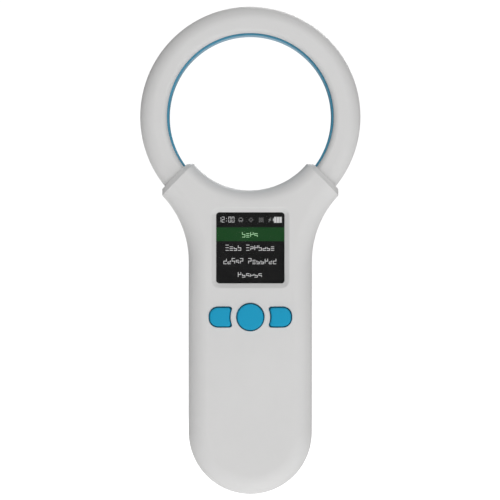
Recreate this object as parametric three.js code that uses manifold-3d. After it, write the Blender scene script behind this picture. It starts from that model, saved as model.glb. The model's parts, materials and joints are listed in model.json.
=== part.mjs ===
// Handheld microchip scanner: an antenna ring on a forked handle, with a colour display and three
// rubber keys on the front, and a main board, a battery, a sounder and a charging socket inside.
// Millimetres. +X is to the right seen from the front, +Y runs from front to back, +Z up to the ring.
// The origin is the centre of the handle where the hand holds it.

import * as THREE from "three";
import { mergeVertices } from "three/addons/utils/BufferGeometryUtils.js";
import Module from "manifold-3d";

const wasm = await Module();
wasm.setup();

// ---------------------------------------------------------------- driving dimensions

// Outline, seen from the front
const overallLength = 182.5;
const gripHeight = 40; // the origin above the bottom tip
const handleHalfWidth = 23.05;
const ringOuterRadius = 41.25;
const saddleProud = 2.8; // the fork's edge stands in from the ring's liner
const collarProud = 2.93; // and each arm's side stands out from the ring
const flankRadius = 35.8; // the hollow curve from the handle out to each arm
const armAngle = Math.PI / 4; // each arm meets the ring this far below the horizontal

// Housing, seen from the side
const bodyHalfDepth = 11.75;
const sideStraight = 2.25; // half of the flat band round the side
const edgeRoll = 6.2; // how far the rolled edge reaches in over the front and back
const wall = 2;
const partingY = -2.25; // where the front and rear shells meet
const partingGap = 0.2;

// Collars, where the ring goes into the arms
const collarEnd = 4.1; // end plane, past the arm's radial line
const collarChamfer = 1.6;
const collarLip = 2.2; // end wall round the tube
const socketClearance = 0.3; // round the tube in its collar
const neckDepth = 7; // tube inside the arm, past the radial line
const armOverrun = 10; // raw arm length that the end cut removes

// Antenna ring
const tubeWidth = 10.1; // radial
const tubeHalfDepth = 8.85;
const tubeWall = 1.6;
const tubeOuterRoll = 5.6;
const tubeInnerRoll = 2.1;
const tubeStraight = 1.85; // half of the flat band on the outside
const flangeHeight = 0.45; // retaining flange on each neck
const flangeWidth = 1.6;
const flangeInset = 3.2; // the flange starts this far out from the tube's inner side
const linerThickness = 1.4;
const linerProud = 0.8; // stands in from the tube's inner wall
const linerHalfWidth = 6;
const bondGap = 0.15; // glue line or light fit

// Coil
const formerInnerGap = 0.3; // from the tube's inside wall
const formerHeight = 4.4; // radial
const formerHalfWidth = 4.4;
const formerWall = 0.8;
const windingHeight = 2.8;

// Display
const displayDrop = 49.1; // centre of the picture below the ring's centre
const pictureWidth = 25.5;
const pictureHeight = 26.5;
const pictureCorner = 1.2;
const bezelReach = 1.7; // sloped frame round the opening
const bezelDepth = 1.4;
const windowBorder = 2; // window behind the opening, past the picture
const windowThickness = 1;
const adhesiveThickness = 0.15;
const adhesiveInset = 0.4; // from the window's edge and from the picture
const displayBorder = 1.45; // display tray past the picture, at the sides
const displayAir = 0.15; // between the window and the display
const displayThickness = 2;
const displayGlass = 1;
const displayHeight = 33;
const displayTopBorder = 2.2;
const trayWall = 0.5;
const flexDrop = 0.8; // the ribbon's turn below the tray
const flexHalfWidth = 6;
const flexThickness = 0.15;
const flexTail = 4; // length of ribbon on the board
const displayFoamInset = 1.5;
const displayFoamBar = 3;
const displayFoamRise = 6; // above the tray's foot, clear of the ribbon

// Main board
const boardThickness = 1.6;
const boardMargin = 3.05; // between the board's edge and the handle's outside
const boardTopDrop = 39.75; // board's top edge below the ring's centre

// Keys
const keyDrop = 74.86; // key row below the ring's centre
const keyTravel = 1;
const keyProud = 0.9;
const keyGap = 0.37; // round each key in its hole
const keyFlange = 0.8;
const keyFlangeThickness = 2.2;
const keyEdge = 0.35; // rounded rim of a key's top
const centreKeyRadius = 4.88;
const sideKeySpacing = 2.92; // from the centre key to a side key's hollow side
const sideKeyHalfHeight = 3.5;
const sideKeyLength = 7.33;
const sideKeyEnd = 2.6; // length of the half-ellipse end
const sideKeyCorner = 1;
const matThickness = 1.1;
const matOpening = 0.3; // round each key's flange
const matEndBorder = 2.07; // mat past its openings, at the ends
const matSideBorder = 0.92; // and above and below
const webThickness = 0.4;
const keyFootInset = 0.6; // the key's foot, in from its top's outline
const webHoleInset = 0.3;
const webLap = 0.25; // the web lies this far over the mat
const centrePillRadius = 2.3;
const sidePillRadius = 1.9;
const pillThickness = 0.5;
const contactThickness = 0.1;

// Screws
const topScrewDrop = 41.25; // below the ring's centre
const topScrewMargin = 0.55; // between the boss and the display tray
const bottomScrewX = 11.5;
const bottomScrewRise = 14; // above the bottom tip
const shankRadius = 1.1;
const headRadius = 2.1;
const headHeight = 1.5;
const headRecess = 2; // head's top below the back
const bossRadius = 2.45;
const postRadius = 3.2;
const screwClearance = 0.3;
const threadBite = 3.3; // length of shank in the front boss

// Charging socket
const socketWidth = 8.94;
const socketHeight = 3.26;
const socketLength = 7.3;
const socketSheet = 0.3;
const socketInset = 0.6; // mouth inside the bottom tip
const socketHoleGap = 0.3;
const tongueHalfWidth = 3.35;
const tongueHalfThickness = 0.35;
const tongueInset = 1; // tip of the tongue inside the mouth
const tongueBase = 1.9;

// Battery
const batteryWidth = 29;
const batteryHeight = 47;
const batteryThickness = 5.4;
const batteryBottom = -21;
const batteryEase = 0.9;
const foamThickness = 1.2;
const foamWidth = 20;
const foamHeight = 36;
const ribThickness = 1;
const ribGap = 0.4;
const ribDepth = 3; // ribs reach this far down the battery's sides

// Rating label and sound holes in the back
const labelWidth = 27;
const labelHeight = 33;
const labelCentreZ = 2;
const labelRecess = 0.3;
const labelThickness = 0.15;
const labelCorner = 1.8;
const soundHoleRadius = 0.65;
const soundRingRadius = 2.6;
const soundDrop = 58.25; // below the ring's centre

// Sounder
const buzzerRadius = 4.8;
const buzzerHeight = 5.5;
const buzzerPort = 1;
const buzzerPortDepth = 2;

// Connectors
const headerHalfWidth = 3;
const headerDepth = 3.4;
const headerBelow = 2.4; // body below its middle
const headerAbove = 2;
const headerWall = 0.6;
const plugGap = 0.15;
const plugAbove = 3.2;
const poleSpacing = 2.2;

// Small parts
const assemblyGap = 0.05; // between flat pieces that lie on each other
const leadRadius = 0.45;
const leadStandOff = 0.3;

// Fineness of curved faces
const outlineSegments = 6; // half of the chords in each arc of the outline
const rollSegments = 3;
const ringSegments = 40;
const roundSegments = 16;

// ---------------------------------------------------------------- derived places

const bottomZ = -gripHeight;
const ringZ = overallLength - gripHeight - ringOuterRadius;
const endZ = bottomZ + handleHalfWidth; // centre of the handle's round end
const armOuter = ringOuterRadius + collarProud; // arm's side, out from the ring's centre
const flankX = handleHalfWidth + flankRadius;
const flankZ = ringZ - ((armOuter + flankRadius) / Math.cos(armAngle) - flankX);
const displayZ = ringZ - displayDrop;
const keyZ = ringZ - keyDrop;
const frontY = -bodyHalfDepth;
const frontInsideY = frontY + wall;
const backInsideY = bodyHalfDepth - wall;
const tubeInnerRadius = ringOuterRadius - tubeWidth;
const linerInnerRadius = tubeInnerRadius - linerProud;
const saddleRadius = linerInnerRadius - saddleProud;
const linerSeatRadius = linerInnerRadius + linerThickness + bondGap;
const formerInnerRadius = linerSeatRadius + tubeWall + formerInnerGap;
const formerOuterRadius = formerInnerRadius + formerHeight;
const adhesiveY = frontInsideY + assemblyGap;
const windowY = adhesiveY + adhesiveThickness + assemblyGap;
const displayY = windowY + windowThickness + displayAir;
const boardBackY = partingY - socketHeight / 2 - assemblyGap;
const boardFrontY = boardBackY - boardThickness;
const boardTopZ = ringZ - boardTopDrop;
const boardHalfWidth = handleHalfWidth - boardMargin;
const displayWidth = pictureWidth + 2 * displayBorder;
const sideKeyHollow = centreKeyRadius + sideKeySpacing; // struck from the centre key's middle
const sideKeyOuter = sideKeyHollow + sideKeyLength;
const soundCentreZ = ringZ - soundDrop;
const contactFrontY = boardFrontY - assemblyGap - contactThickness;
const pillBackY = contactFrontY - keyTravel - assemblyGap;
const keyBackY = pillBackY - pillThickness - assemblyGap;
const keyFrontY = frontY - keyProud;
const matBackY = boardFrontY - assemblyGap;
const matFrontY = matBackY - matThickness;
const seatY = bodyHalfDepth - headRecess - headHeight;
const batteryBackY = backInsideY - assemblyGap * 2 - foamThickness;
const batteryFrontY = batteryBackY - batteryThickness;
const batteryTopZ = batteryBottom + batteryHeight;

// Where a side's arm meets the ring, out from the ring's centre and on along the tube.
function armPoint(side, out, along) {
  const x = out * Math.cos(armAngle) + along * Math.sin(armAngle);
  const z = ringZ - out * Math.sin(armAngle) + along * Math.cos(armAngle);
  return new THREE.Vector2(side * x, z);
}

const topScrewX = displayWidth / 2 + bossRadius + topScrewMargin;
const topScrewZ = ringZ - topScrewDrop;
const bottomScrewZ = bottomZ + bottomScrewRise;
const screws = [
  { name: "top_left", x: -topScrewX, z: topScrewZ },
  { name: "top_right", x: topScrewX, z: topScrewZ },
  { name: "bottom_left", x: -bottomScrewX, z: bottomScrewZ },
  { name: "bottom_right", x: bottomScrewX, z: bottomScrewZ },
];

// ---------------------------------------------------------------- materials

function finish(color, roughness, metalness = 0) {
  return new THREE.MeshStandardMaterial({ color, roughness, metalness });
}

const housingPlastic = finish(0xd6d6d5, 0.5);
const bluePlastic = finish(0x2396c0, 0.5);
const blueRubber = finish(0x2196bd, 0.7);
const clearPlastic = finish(0xdfe6e8, 0.08);
const blackFoam = finish(0x1c1c1c, 0.95);
const displayFace = finish(0x1e1f20, 0.15);
const whitePlastic = finish(0xe8e8e4, 0.5);
const blackPlastic = finish(0x18191a, 0.45);
const carbonRubber = finish(0x141414, 0.9);
const gold = finish(0xd8b04a, 0.3, 1);
const boardGreen = finish(0x14603a, 0.4);
const steel = finish(0xb9bcc0, 0.3, 1);
const copper = finish(0xb8642c, 0.35, 1);
const polyimide = finish(0xc07a1e, 0.35);
const foil = finish(0xbfc3c8, 0.35, 1);
const redSleeve = finish(0xb42020, 0.5);
const blackSleeve = finish(0x161616, 0.5);
const labelFilm = finish(0xc9ccce, 0.4);

// ---------------------------------------------------------------- tools

function solidOf(geometry) {
  const bare = geometry.clone();
  bare.deleteAttribute("normal");
  bare.deleteAttribute("uv");
  const merged = mergeVertices(bare, 1e-4);
  return new wasm.Manifold(
    new wasm.Mesh({
      numProp: 3,
      vertProperties: new Float32Array(merged.attributes.position.array),
      triVerts: new Uint32Array(merged.index.array),
    }),
  );
}

function geometryOf(solid) {
  const mesh = solid.getMesh();
  const geometry = new THREE.BufferGeometry();
  geometry.setAttribute(
    "position",
    new THREE.BufferAttribute(new Float32Array(mesh.vertProperties), mesh.numProp),
  );
  geometry.setIndex(new THREE.BufferAttribute(new Uint32Array(mesh.triVerts), 1));
  geometry.computeVertexNormals();
  return geometry;
}

// A shape drawn in X and Z, swept from front to back between two values of Y.
function alongY(shape, y0, y1, options = {}) {
  const geometry = new THREE.ExtrudeGeometry(shape, {
    depth: y1 - y0,
    bevelEnabled: false,
    ...options,
  });
  return geometry.rotateX(Math.PI / 2).translate(0, y1, 0);
}

// A shape drawn in Y and Z, swept along X.
function alongX(shape, x0, x1) {
  const geometry = new THREE.ExtrudeGeometry(shape, {
    depth: x1 - x0,
    bevelEnabled: false,
  });
  const turn = new THREE.Matrix4().makeBasis(
    new THREE.Vector3(0, 1, 0),
    new THREE.Vector3(0, 0, 1),
    new THREE.Vector3(1, 0, 0),
  );
  return geometry.applyMatrix4(turn).translate(x0, 0, 0);
}

// A shape drawn in X and Y, swept up along Z.
function alongZ(shape, z0, z1) {
  const geometry = new THREE.ExtrudeGeometry(shape, {
    depth: z1 - z0,
    bevelEnabled: false,
  });
  return geometry.translate(0, 0, z0);
}

// A closed outline through points, with any doubled point dropped.
function outline(points) {
  const kept = points.filter(([x, y], i) => {
    const [px, py] = points[(i + points.length - 1) % points.length];
    return Math.hypot(x - px, y - py) > 1e-3;
  });
  return new THREE.Shape(kept.map(([x, y]) => new THREE.Vector2(x, y)));
}

// Points along an arc, both ends included.
function arc(x, y, radius, from, to, steps) {
  return Array.from({ length: steps + 1 }, (_, i) => {
    const turn = from + ((to - from) * i) / steps;
    return [x + radius * Math.cos(turn), y + radius * Math.sin(turn)];
  });
}

function box(x0, x1, y0, y1, z0, z1) {
  const geometry = new THREE.BoxGeometry(x1 - x0, y1 - y0, z1 - z0);
  return geometry.translate((x0 + x1) / 2, (y0 + y1) / 2, (z0 + z1) / 2);
}

// A round bar along Y.
function pin(x, z, radius, y0, y1, segments = roundSegments) {
  const geometry = new THREE.CylinderGeometry(radius, radius, y1 - y0, segments);
  return geometry.translate(x, (y0 + y1) / 2, z);
}

function roundedRectangle(width, height, corner, x = 0, y = 0, steps = 2) {
  const w = width / 2 - corner;
  const h = height / 2 - corner;
  const quarter = Math.PI / 2;
  return outline([
    ...arc(x + w, y + h, corner, 0, quarter, steps),
    ...arc(x - w, y + h, corner, quarter, 2 * quarter, steps),
    ...arc(x - w, y - h, corner, 2 * quarter, 3 * quarter, steps),
    ...arc(x + w, y - h, corner, 3 * quarter, 4 * quarter, steps),
  ]);
}

// A closed section in radius and Y, turned about the ring's axis.
function ringOf(section, segments = ringSegments) {
  const points = section.map(([radius, y]) => new THREE.Vector2(radius, y));
  points.push(points[0].clone());
  return new THREE.LatheGeometry(points, segments).translate(0, 0, ringZ);
}

// A quarter ellipse from (x0, y0) to (x1, y1). It leaves along X and arrives along Y.
function quarterEllipse(x0, y0, x1, y1, steps) {
  return Array.from({ length: steps + 1 }, (_, i) => {
    const turn = ((i / steps) * Math.PI) / 2;
    return [x0 + (x1 - x0) * Math.sin(turn), y1 + (y0 - y1) * Math.cos(turn)];
  });
}

function lead(points) {
  const path = new THREE.CatmullRomCurve3(points.map((p) => new THREE.Vector3(...p)));
  const section = outline(arc(0, 0, leadRadius, 0, 2 * Math.PI, 6));
  return new THREE.ExtrudeGeometry(section, {
    steps: 10,
    bevelEnabled: false,
    extrudePath: path,
  });
}

// ---------------------------------------------------------------- housing

// The fork and handle seen from the front, drawn inset from the outside. Past its end plane each
// arm runs straight on, for the end cut to remove.
function bodyShape(inset) {
  const halfWidth = handleHalfWidth - inset;
  const flank = flankRadius + inset;
  const saddle = saddleRadius + inset;
  const past = Math.asin((collarEnd + 1) / saddle);
  const reach = past - armAngle;
  const along = saddle * Math.sin(past) + armOverrun * Math.cos(past);
  const inner = armPoint(1, saddle * Math.cos(past) - armOverrun * Math.sin(past), along);
  const outer = armPoint(1, armOuter - inset, along);
  const n = outlineSegments;
  return outline([
    ...arc(0, endZ, halfWidth, Math.PI, 2 * Math.PI, 2 * n),
    ...arc(flankX, flankZ, flank, Math.PI, Math.PI - armAngle, n),
    [outer.x, outer.y],
    [inner.x, inner.y],
    ...arc(0, ringZ, saddle, reach, -Math.PI - reach, 2 * n),
    [-inner.x, inner.y],
    [-outer.x, outer.y],
    ...arc(-flankX, flankZ, flank, armAngle, 0, n),
  ]);
}

// The body as one thick plate with rolled front and back edges, inset all over.
function rolledPlate(inset) {
  const roll = edgeRoll - inset;
  return solidOf(
    alongY(bodyShape(inset), -sideStraight, sideStraight, {
      bevelEnabled: true,
      bevelThickness: bodyHalfDepth - inset - sideStraight,
      bevelSize: roll,
      bevelOffset: -roll,
      bevelSegments: rollSegments,
    }),
  );
}

// A piece drawn with X out from the ring's centre and Z on along the tube, turned onto an arm.
function ontoArm(geometry, side) {
  return solidOf(geometry.rotateY(side * armAngle).translate(0, 0, ringZ));
}

// All that lies past a plane across an arm.
function beyondArm(side, along) {
  const far = 90;
  const x = [side * 12, side * far].sort((a, b) => a - b);
  return ontoArm(box(x[0], x[1], -far, far, along, far), side);
}

// The end cut of a collar: its end plane and a chamfer on all four edges of it.
function collarCut(side) {
  const past = 8; // the cutters reach this far outside the arm
  const y = bodyHalfDepth;
  const corner = (out, way) =>
    outline([
      [side * (out - way * (collarChamfer + past)), collarEnd + past],
      [side * (out + way * past), collarEnd - collarChamfer - past],
      [side * (out + way * past), collarEnd + past],
    ]);
  const edge = (way) =>
    outline([
      [way * (y - collarChamfer - past), collarEnd + past],
      [way * (y + past), collarEnd - collarChamfer - past],
      [way * (y + past), collarEnd + past],
    ]);
  const span = [side * (saddleRadius - past), side * (armOuter + past)].sort((a, b) => a - b);
  const cutters = [
    alongY(corner(armOuter, 1), -y - past, y + past),
    alongY(corner(saddleRadius, -1), -y - past, y + past),
    alongX(edge(1), span[0], span[1]),
    alongX(edge(-1), span[0], span[1]),
  ];
  return cutters.reduce(
    (whole, cutter) => whole.add(ontoArm(cutter, side)),
    beyondArm(side, collarEnd),
  );
}

// The tube's section, grown by a margin, with a band of the given half width standing in from it.
function tubeSection(margin, halfWidth) {
  const outer = ringOuterRadius + margin;
  const inner = tubeInnerRadius - margin;
  const depth = tubeHalfDepth + margin;
  const front = quarterEllipse(outer - tubeOuterRoll, -depth, outer, -tubeStraight, rollSegments);
  const nose = quarterEllipse(inner + tubeInnerRoll, -depth, inner, -depth + tubeInnerRoll, 2);
  const half = [...nose.reverse(), ...front];
  const mirrored = half.map(([r, y]) => [r, -y]).reverse();
  const band = linerInnerRadius - margin;
  return [
    ...half,
    ...mirrored,
    [inner, halfWidth],
    [band, halfWidth],
    [band, -halfWidth],
    [inner, -halfWidth],
  ];
}

// Both shells as one hollow body, before they part.
function hollowBody() {
  let outside = rolledPlate(0);
  let inside = rolledPlate(wall);
  for (const side of [-1, 1]) {
    outside = outside.subtract(collarCut(side));
    inside = inside.subtract(beyondArm(side, collarEnd - collarLip));
  }
  const bore = solidOf(ringOf(tubeSection(socketClearance, linerHalfWidth + socketClearance)));
  return outside.subtract(inside).subtract(bore);
}

const body = hollowBody();

// The part of a solid between two values of Y.
function slab(solid, y0, y1) {
  const far = 200;
  return solid.intersect(solidOf(box(-far, far, y0, y1, -far, far)));
}

function socketHole() {
  const width = socketWidth + 2 * socketHoleGap;
  const height = socketHeight + 2 * socketHoleGap;
  const shape = roundedRectangle(width, height, height / 2 - 0.01, 0, partingY);
  return solidOf(alongZ(shape, bottomZ - wall, bottomZ + 2 * wall));
}

function frontShell() {
  let shell = slab(body, -bodyHalfDepth - 1, partingY - partingGap / 2);
  for (const { x, z } of screws) {
    shell = shell.add(solidOf(pin(x, z, bossRadius, frontInsideY - 0.5, boardFrontY - assemblyGap)));
  }
  for (const { x, z } of screws) {
    const pilot = shankRadius + assemblyGap;
    shell = shell.subtract(solidOf(pin(x, z, pilot, frontInsideY, boardFrontY)));
  }
  const opening = solidOf(alongY(pictureShape(0), frontY - 1, frontInsideY + 1));
  const slope = solidOf(
    alongY(pictureShape(0), frontY - 3, frontY, {
      bevelEnabled: true,
      bevelThickness: bezelDepth,
      bevelSize: bezelReach,
      bevelOffset: 0,
      bevelSegments: 1,
    }),
  );
  shell = shell.subtract(opening).subtract(slope);
  for (const key of keys) {
    shell = shell.subtract(solidOf(alongY(key.shape(keyGap), frontY - 1, frontInsideY + 1)));
  }
  return shell.subtract(socketHole());
}

// Ribs that stand on the inside of the back and keep the battery in place.
function batteryRibs() {
  const x0 = batteryWidth / 2 + ribGap;
  const x1 = x0 + ribThickness;
  const front = batteryBackY - ribDepth;
  const back = backInsideY + 0.5;
  const low = batteryBottom - ribGap;
  const high = batteryTopZ + ribGap;
  return [
    box(-x1, -x0, front, back, low + 8, high - 6),
    box(x0, x1, front, back, low + 8, high - 6),
    box(-7, 7, front, back, low - ribThickness, low),
    box(-12, -6, front, back, high, high + ribThickness),
  ];
}

function labelShape(grow) {
  const [width, height] = [labelWidth + 2 * grow, labelHeight + 2 * grow];
  return roundedRectangle(width, height, labelCorner + grow, 0, labelCentreZ);
}

function rearShell() {
  let shell = slab(body, partingY + partingGap / 2, bodyHalfDepth + 1);
  for (const { x, z } of screws) {
    shell = shell.add(solidOf(pin(x, z, postRadius, boardBackY + assemblyGap, backInsideY + 0.5)));
  }
  for (const rib of batteryRibs()) shell = shell.add(solidOf(rib));
  for (const { x, z } of screws) {
    const hole = solidOf(pin(x, z, shankRadius + screwClearance, boardBackY - 1, seatY + 1));
    const recess = solidOf(
      pin(x, z, headRadius + screwClearance, seatY - assemblyGap, bodyHalfDepth + 1),
    );
    shell = shell.subtract(hole).subtract(recess);
  }
  const label = alongY(labelShape(bondGap), bodyHalfDepth - labelRecess, bodyHalfDepth + 1);
  shell = shell.subtract(solidOf(label));
  for (const [x, z] of soundHoles()) {
    const hole = pin(x, z, soundHoleRadius, backInsideY - 1, bodyHalfDepth + 1, 8);
    shell = shell.subtract(solidOf(hole));
  }
  return shell.subtract(socketHole());
}

function soundHoles() {
  const ring = Array.from({ length: 6 }, (_, i) => {
    const turn = (i * Math.PI) / 3;
    return [soundRingRadius * Math.cos(turn), soundCentreZ + soundRingRadius * Math.sin(turn)];
  });
  return [[0, soundCentreZ], ...ring];
}

function caseScrew({ x, z }) {
  const tipY = boardFrontY - threadBite;
  const top = seatY + headHeight;
  const profile = [
    [0, tipY],
    [shankRadius * 0.55, tipY],
    [shankRadius, tipY + 0.8],
    [shankRadius, seatY],
    [headRadius, seatY],
    [headRadius, seatY + headHeight * 0.5],
    [headRadius * 0.72, seatY + headHeight * 0.9],
    [0, top],
  ].map(([r, y]) => new THREE.Vector2(r, y));
  const screw = solidOf(new THREE.LatheGeometry(profile, 10).translate(x, 0, z));
  const slotDepth = headHeight * 0.6;
  const long = headRadius * 0.55;
  const thin = headRadius * 0.13;
  const cross = solidOf(box(x - long, x + long, top - slotDepth, top + 1, z - thin, z + thin)).add(
    solidOf(box(x - thin, x + thin, top - slotDepth, top + 1, z - long, z + long)),
  );
  return screw.subtract(cross);
}

// ---------------------------------------------------------------- antenna ring

// One half of the tube as a section: way is -1 at the front and 1 at the back.
function tubeHalfSection(way) {
  const meet = partingGap / 2;
  const insideOuter = ringOuterRadius - tubeWall;
  const insideInner = linerSeatRadius + tubeWall;
  const insideDepth = tubeHalfDepth - tubeWall;
  const outerRoll = tubeOuterRoll - tubeWall;
  const outside = [
    [linerSeatRadius, meet],
    [linerSeatRadius, linerHalfWidth + bondGap],
    [tubeInnerRadius, linerHalfWidth + bondGap],
    ...quarterEllipse(
      tubeInnerRadius + tubeInnerRoll,
      tubeHalfDepth,
      tubeInnerRadius,
      tubeHalfDepth - tubeInnerRoll,
      2,
    ).reverse(),
    ...quarterEllipse(
      ringOuterRadius - tubeOuterRoll,
      tubeHalfDepth,
      ringOuterRadius,
      tubeStraight,
      rollSegments,
    ),
    [ringOuterRadius, meet],
  ];
  const inside = [
    [insideOuter, meet],
    ...quarterEllipse(
      insideOuter - outerRoll,
      insideDepth,
      insideOuter,
      tubeStraight,
      2,
    ).reverse(),
    [insideInner, insideDepth],
    [insideInner, meet],
  ];
  const section = [...outside, ...inside].map(([r, y]) => [r, way * y]);
  return way > 0 ? section.reverse() : section;
}

// What lies below both necks' ends, on the handle's side of the ring.
function neckCut() {
  const far = 90;
  const left = armPoint(-1, far, -neckDepth);
  const right = armPoint(1, far, -neckDepth);
  const shape = outline([
    [0, ringZ - neckDepth / Math.cos(armAngle)],
    [left.x, left.y],
    [0, ringZ - 2 * far],
    [right.x, right.y],
  ]);
  return solidOf(alongY(shape, -20, 20));
}

// The flanges that hold each neck behind its collar's lip, for one half of the tube.
function neckFlanges(way) {
  const grown = solidOf(ringOf(tubeSection(flangeHeight, linerHalfWidth)));
  const core = solidOf(ringOf(tubeSection(-tubeWall / 2, 1)));
  const y = [way * (partingGap / 2), way * bodyHalfDepth].sort((a, b) => a - b);
  const top = collarEnd - collarLip - socketClearance;
  const halves = [-1, 1].map((side) => {
    const reach = [side * (tubeInnerRadius + flangeInset), side * (ringOuterRadius + 3)];
    const [x0, x1] = reach.sort((a, b) => a - b);
    const zone = ontoArm(box(x0, x1, y[0], y[1], top - flangeWidth, top), side);
    return grown.subtract(core).intersect(zone);
  });
  return halves[0].add(halves[1]);
}

function ringHalf(way) {
  const tube = solidOf(ringOf(tubeHalfSection(way))).subtract(neckCut());
  return tube.add(neckFlanges(way));
}

function ringLiner() {
  const outer = linerInnerRadius + linerThickness;
  const rim = 0.4;
  const section = [
    [outer, -linerHalfWidth],
    [linerInnerRadius + rim, -linerHalfWidth],
    [linerInnerRadius, -linerHalfWidth + rim],
    [linerInnerRadius, linerHalfWidth - rim],
    [linerInnerRadius + rim, linerHalfWidth],
    [outer, linerHalfWidth],
  ];
  return solidOf(ringOf(section.reverse())).subtract(neckCut());
}

function coilFormer() {
  const base = formerInnerRadius + formerWall;
  const cheek = formerHalfWidth - formerWall;
  const section = [
    [formerInnerRadius, -formerHalfWidth],
    [formerOuterRadius, -formerHalfWidth],
    [formerOuterRadius, -cheek],
    [base, -cheek],
    [base, cheek],
    [formerOuterRadius, cheek],
    [formerOuterRadius, formerHalfWidth],
    [formerInnerRadius, formerHalfWidth],
  ];
  return ringOf(section);
}

function antennaCoil() {
  const inner = formerInnerRadius + formerWall + bondGap;
  const outer = inner + windingHeight;
  const half = formerHalfWidth - formerWall - bondGap;
  return ringOf([
    [inner, -half],
    [outer - 0.5, -half],
    [outer, -half + 0.5],
    [outer, half - 0.5],
    [outer - 0.5, half],
    [inner, half],
  ]);
}

// ---------------------------------------------------------------- display

// The picture's outline, grown all round.
function pictureShape(grow) {
  const [width, height] = [pictureWidth + 2 * grow, pictureHeight + 2 * grow];
  return roundedRectangle(width, height, pictureCorner, 0, displayZ);
}

function screenWindow() {
  return alongY(pictureShape(windowBorder), windowY, windowY + windowThickness);
}

function windowAdhesive() {
  const shape = pictureShape(windowBorder - adhesiveInset);
  shape.holes.push(pictureShape(adhesiveInset));
  return alongY(shape, adhesiveY, adhesiveY + adhesiveThickness);
}

const displayTopZ = displayZ + pictureHeight / 2 + displayTopBorder;
const displayMidZ = displayTopZ - displayHeight / 2;
const displayBackY = displayY + displayThickness;

// The display tray's outline, inset all round.
function displayShape(inset) {
  const [width, height] = [displayWidth - 2 * inset, displayHeight - 2 * inset];
  return roundedRectangle(width, height, 0.5, 0, displayMidZ);
}

function displayPanel() {
  return alongY(displayShape(trayWall + assemblyGap), displayY, displayY + displayGlass);
}

function displayTray() {
  const floor = displayY + displayGlass + assemblyGap;
  const pocket = alongY(displayShape(trayWall), displayY - 1, floor);
  return solidOf(alongY(displayShape(0), displayY, displayBackY)).subtract(solidOf(pocket));
}

function displayFoam() {
  const width = displayWidth - 2 * displayFoamInset;
  const top = boardTopZ - displayFoamInset;
  const bottom = displayMidZ - displayHeight / 2 + displayFoamRise;
  const frame = (inset) => {
    const [w, h] = [width - 2 * inset, top - bottom - 2 * inset];
    return roundedRectangle(w, h, 0.5, 0, (top + bottom) / 2);
  };
  const shape = frame(0);
  shape.holes.push(frame(displayFoamBar));
  return alongY(shape, displayBackY + assemblyGap, boardFrontY - assemblyGap);
}

// The ribbon leaves the foot of the tray and turns back onto the board under it.
function displayFlex() {
  const foot = displayMidZ - displayHeight / 2 - assemblyGap;
  const front = displayY + displayGlass + 0.2;
  const back = boardFrontY - assemblyGap;
  const middle = (front + back) / 2;
  const end = foot + flexTail;
  const half = (back - front) / 2;
  const lowerHalf = arc(0, 0, 1, Math.PI, 2 * Math.PI, 8);
  const turn = (reach, drop) => lowerHalf.map(([y, z]) => [middle + reach * y, foot + drop * z]);
  const shape = outline([
    ...turn(half, flexDrop),
    [back, end],
    [back - flexThickness, end],
    ...turn(half - flexThickness, flexDrop - flexThickness).reverse(),
  ]);
  return alongX(shape, -flexHalfWidth, flexHalfWidth);
}

// ---------------------------------------------------------------- keys

// Points of a rounded corner between two places, with the sharp corner in the middle.
function easedCorner(from, sharp, to, steps = 2) {
  const curve = new THREE.QuadraticBezierCurve(
    new THREE.Vector2(...from),
    new THREE.Vector2(...sharp),
    new THREE.Vector2(...to),
  );
  return curve.getPoints(steps).map(({ x, y }) => [x, y]);
}

// A side key: a hollow side that follows the centre key, and a half-ellipse at the far end.
function sideKeyShape(side, grow) {
  const h = sideKeyHalfHeight + grow;
  const hollow = sideKeyHollow - grow;
  const length = sideKeyEnd + grow;
  const endX = sideKeyOuter + grow - length;
  const cornerX = Math.sqrt(hollow * hollow - h * h);
  const turn = Math.asin((h - sideKeyCorner) / hollow);
  const near = [hollow * Math.cos(turn), hollow * Math.sin(turn)];
  const flat = [cornerX + sideKeyCorner, h];
  const halfRound = arc(0, 0, 1, Math.PI / 2, -Math.PI / 2, 8);
  const points = [
    ...halfRound.map(([x, z]) => [endX + length * x, h * z]),
    ...easedCorner([flat[0], -flat[1]], [cornerX, -h], [near[0], -near[1]]),
    ...arc(0, 0, hollow, -turn, turn, 4),
    ...easedCorner(near, [cornerX, h], flat),
  ];
  return outline(points.map(([x, z]) => [side * x, keyZ + z]));
}

function centreKeyShape(grow) {
  return outline(arc(0, keyZ, centreKeyRadius + grow, 0, 2 * Math.PI, 20));
}

const sideKeyMiddle = (sideKeyHollow + sideKeyOuter) / 2;
const keys = [
  { name: "left", x: -sideKeyMiddle, pill: sidePillRadius, shape: (grow) => sideKeyShape(-1, grow) },
  { name: "centre", x: 0, pill: centrePillRadius, shape: centreKeyShape },
  { name: "right", x: sideKeyMiddle, pill: sidePillRadius, shape: (grow) => sideKeyShape(1, grow) },
];

function keyTop(key) {
  const flangeFront = frontInsideY + assemblyGap;
  const flangeBack = flangeFront + keyFlangeThickness;
  const cap = alongY(key.shape(0), keyFrontY + keyEdge, flangeFront + 0.5, {
    bevelEnabled: true,
    bevelThickness: keyEdge,
    bevelSize: keyEdge,
    bevelOffset: -keyEdge,
    bevelSegments: 2,
  });
  const flange = alongY(key.shape(keyFlange), flangeFront, flangeBack);
  const foot = alongY(key.shape(-keyFootInset), flangeFront, keyBackY);
  return solidOf(cap).add(solidOf(flange)).add(solidOf(foot));
}

function keyWeb(key) {
  const back = matFrontY - assemblyGap;
  const lap = keyFlange + matOpening + webLap;
  const outside = alongY(key.shape(lap), back - webThickness, back);
  const inside = alongY(key.shape(-webHoleInset), back - webThickness - 1, back + 1);
  return solidOf(outside).subtract(solidOf(inside));
}

function keyPill(key) {
  return pin(key.x, keyZ, key.pill, pillBackY - pillThickness, pillBackY);
}

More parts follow.
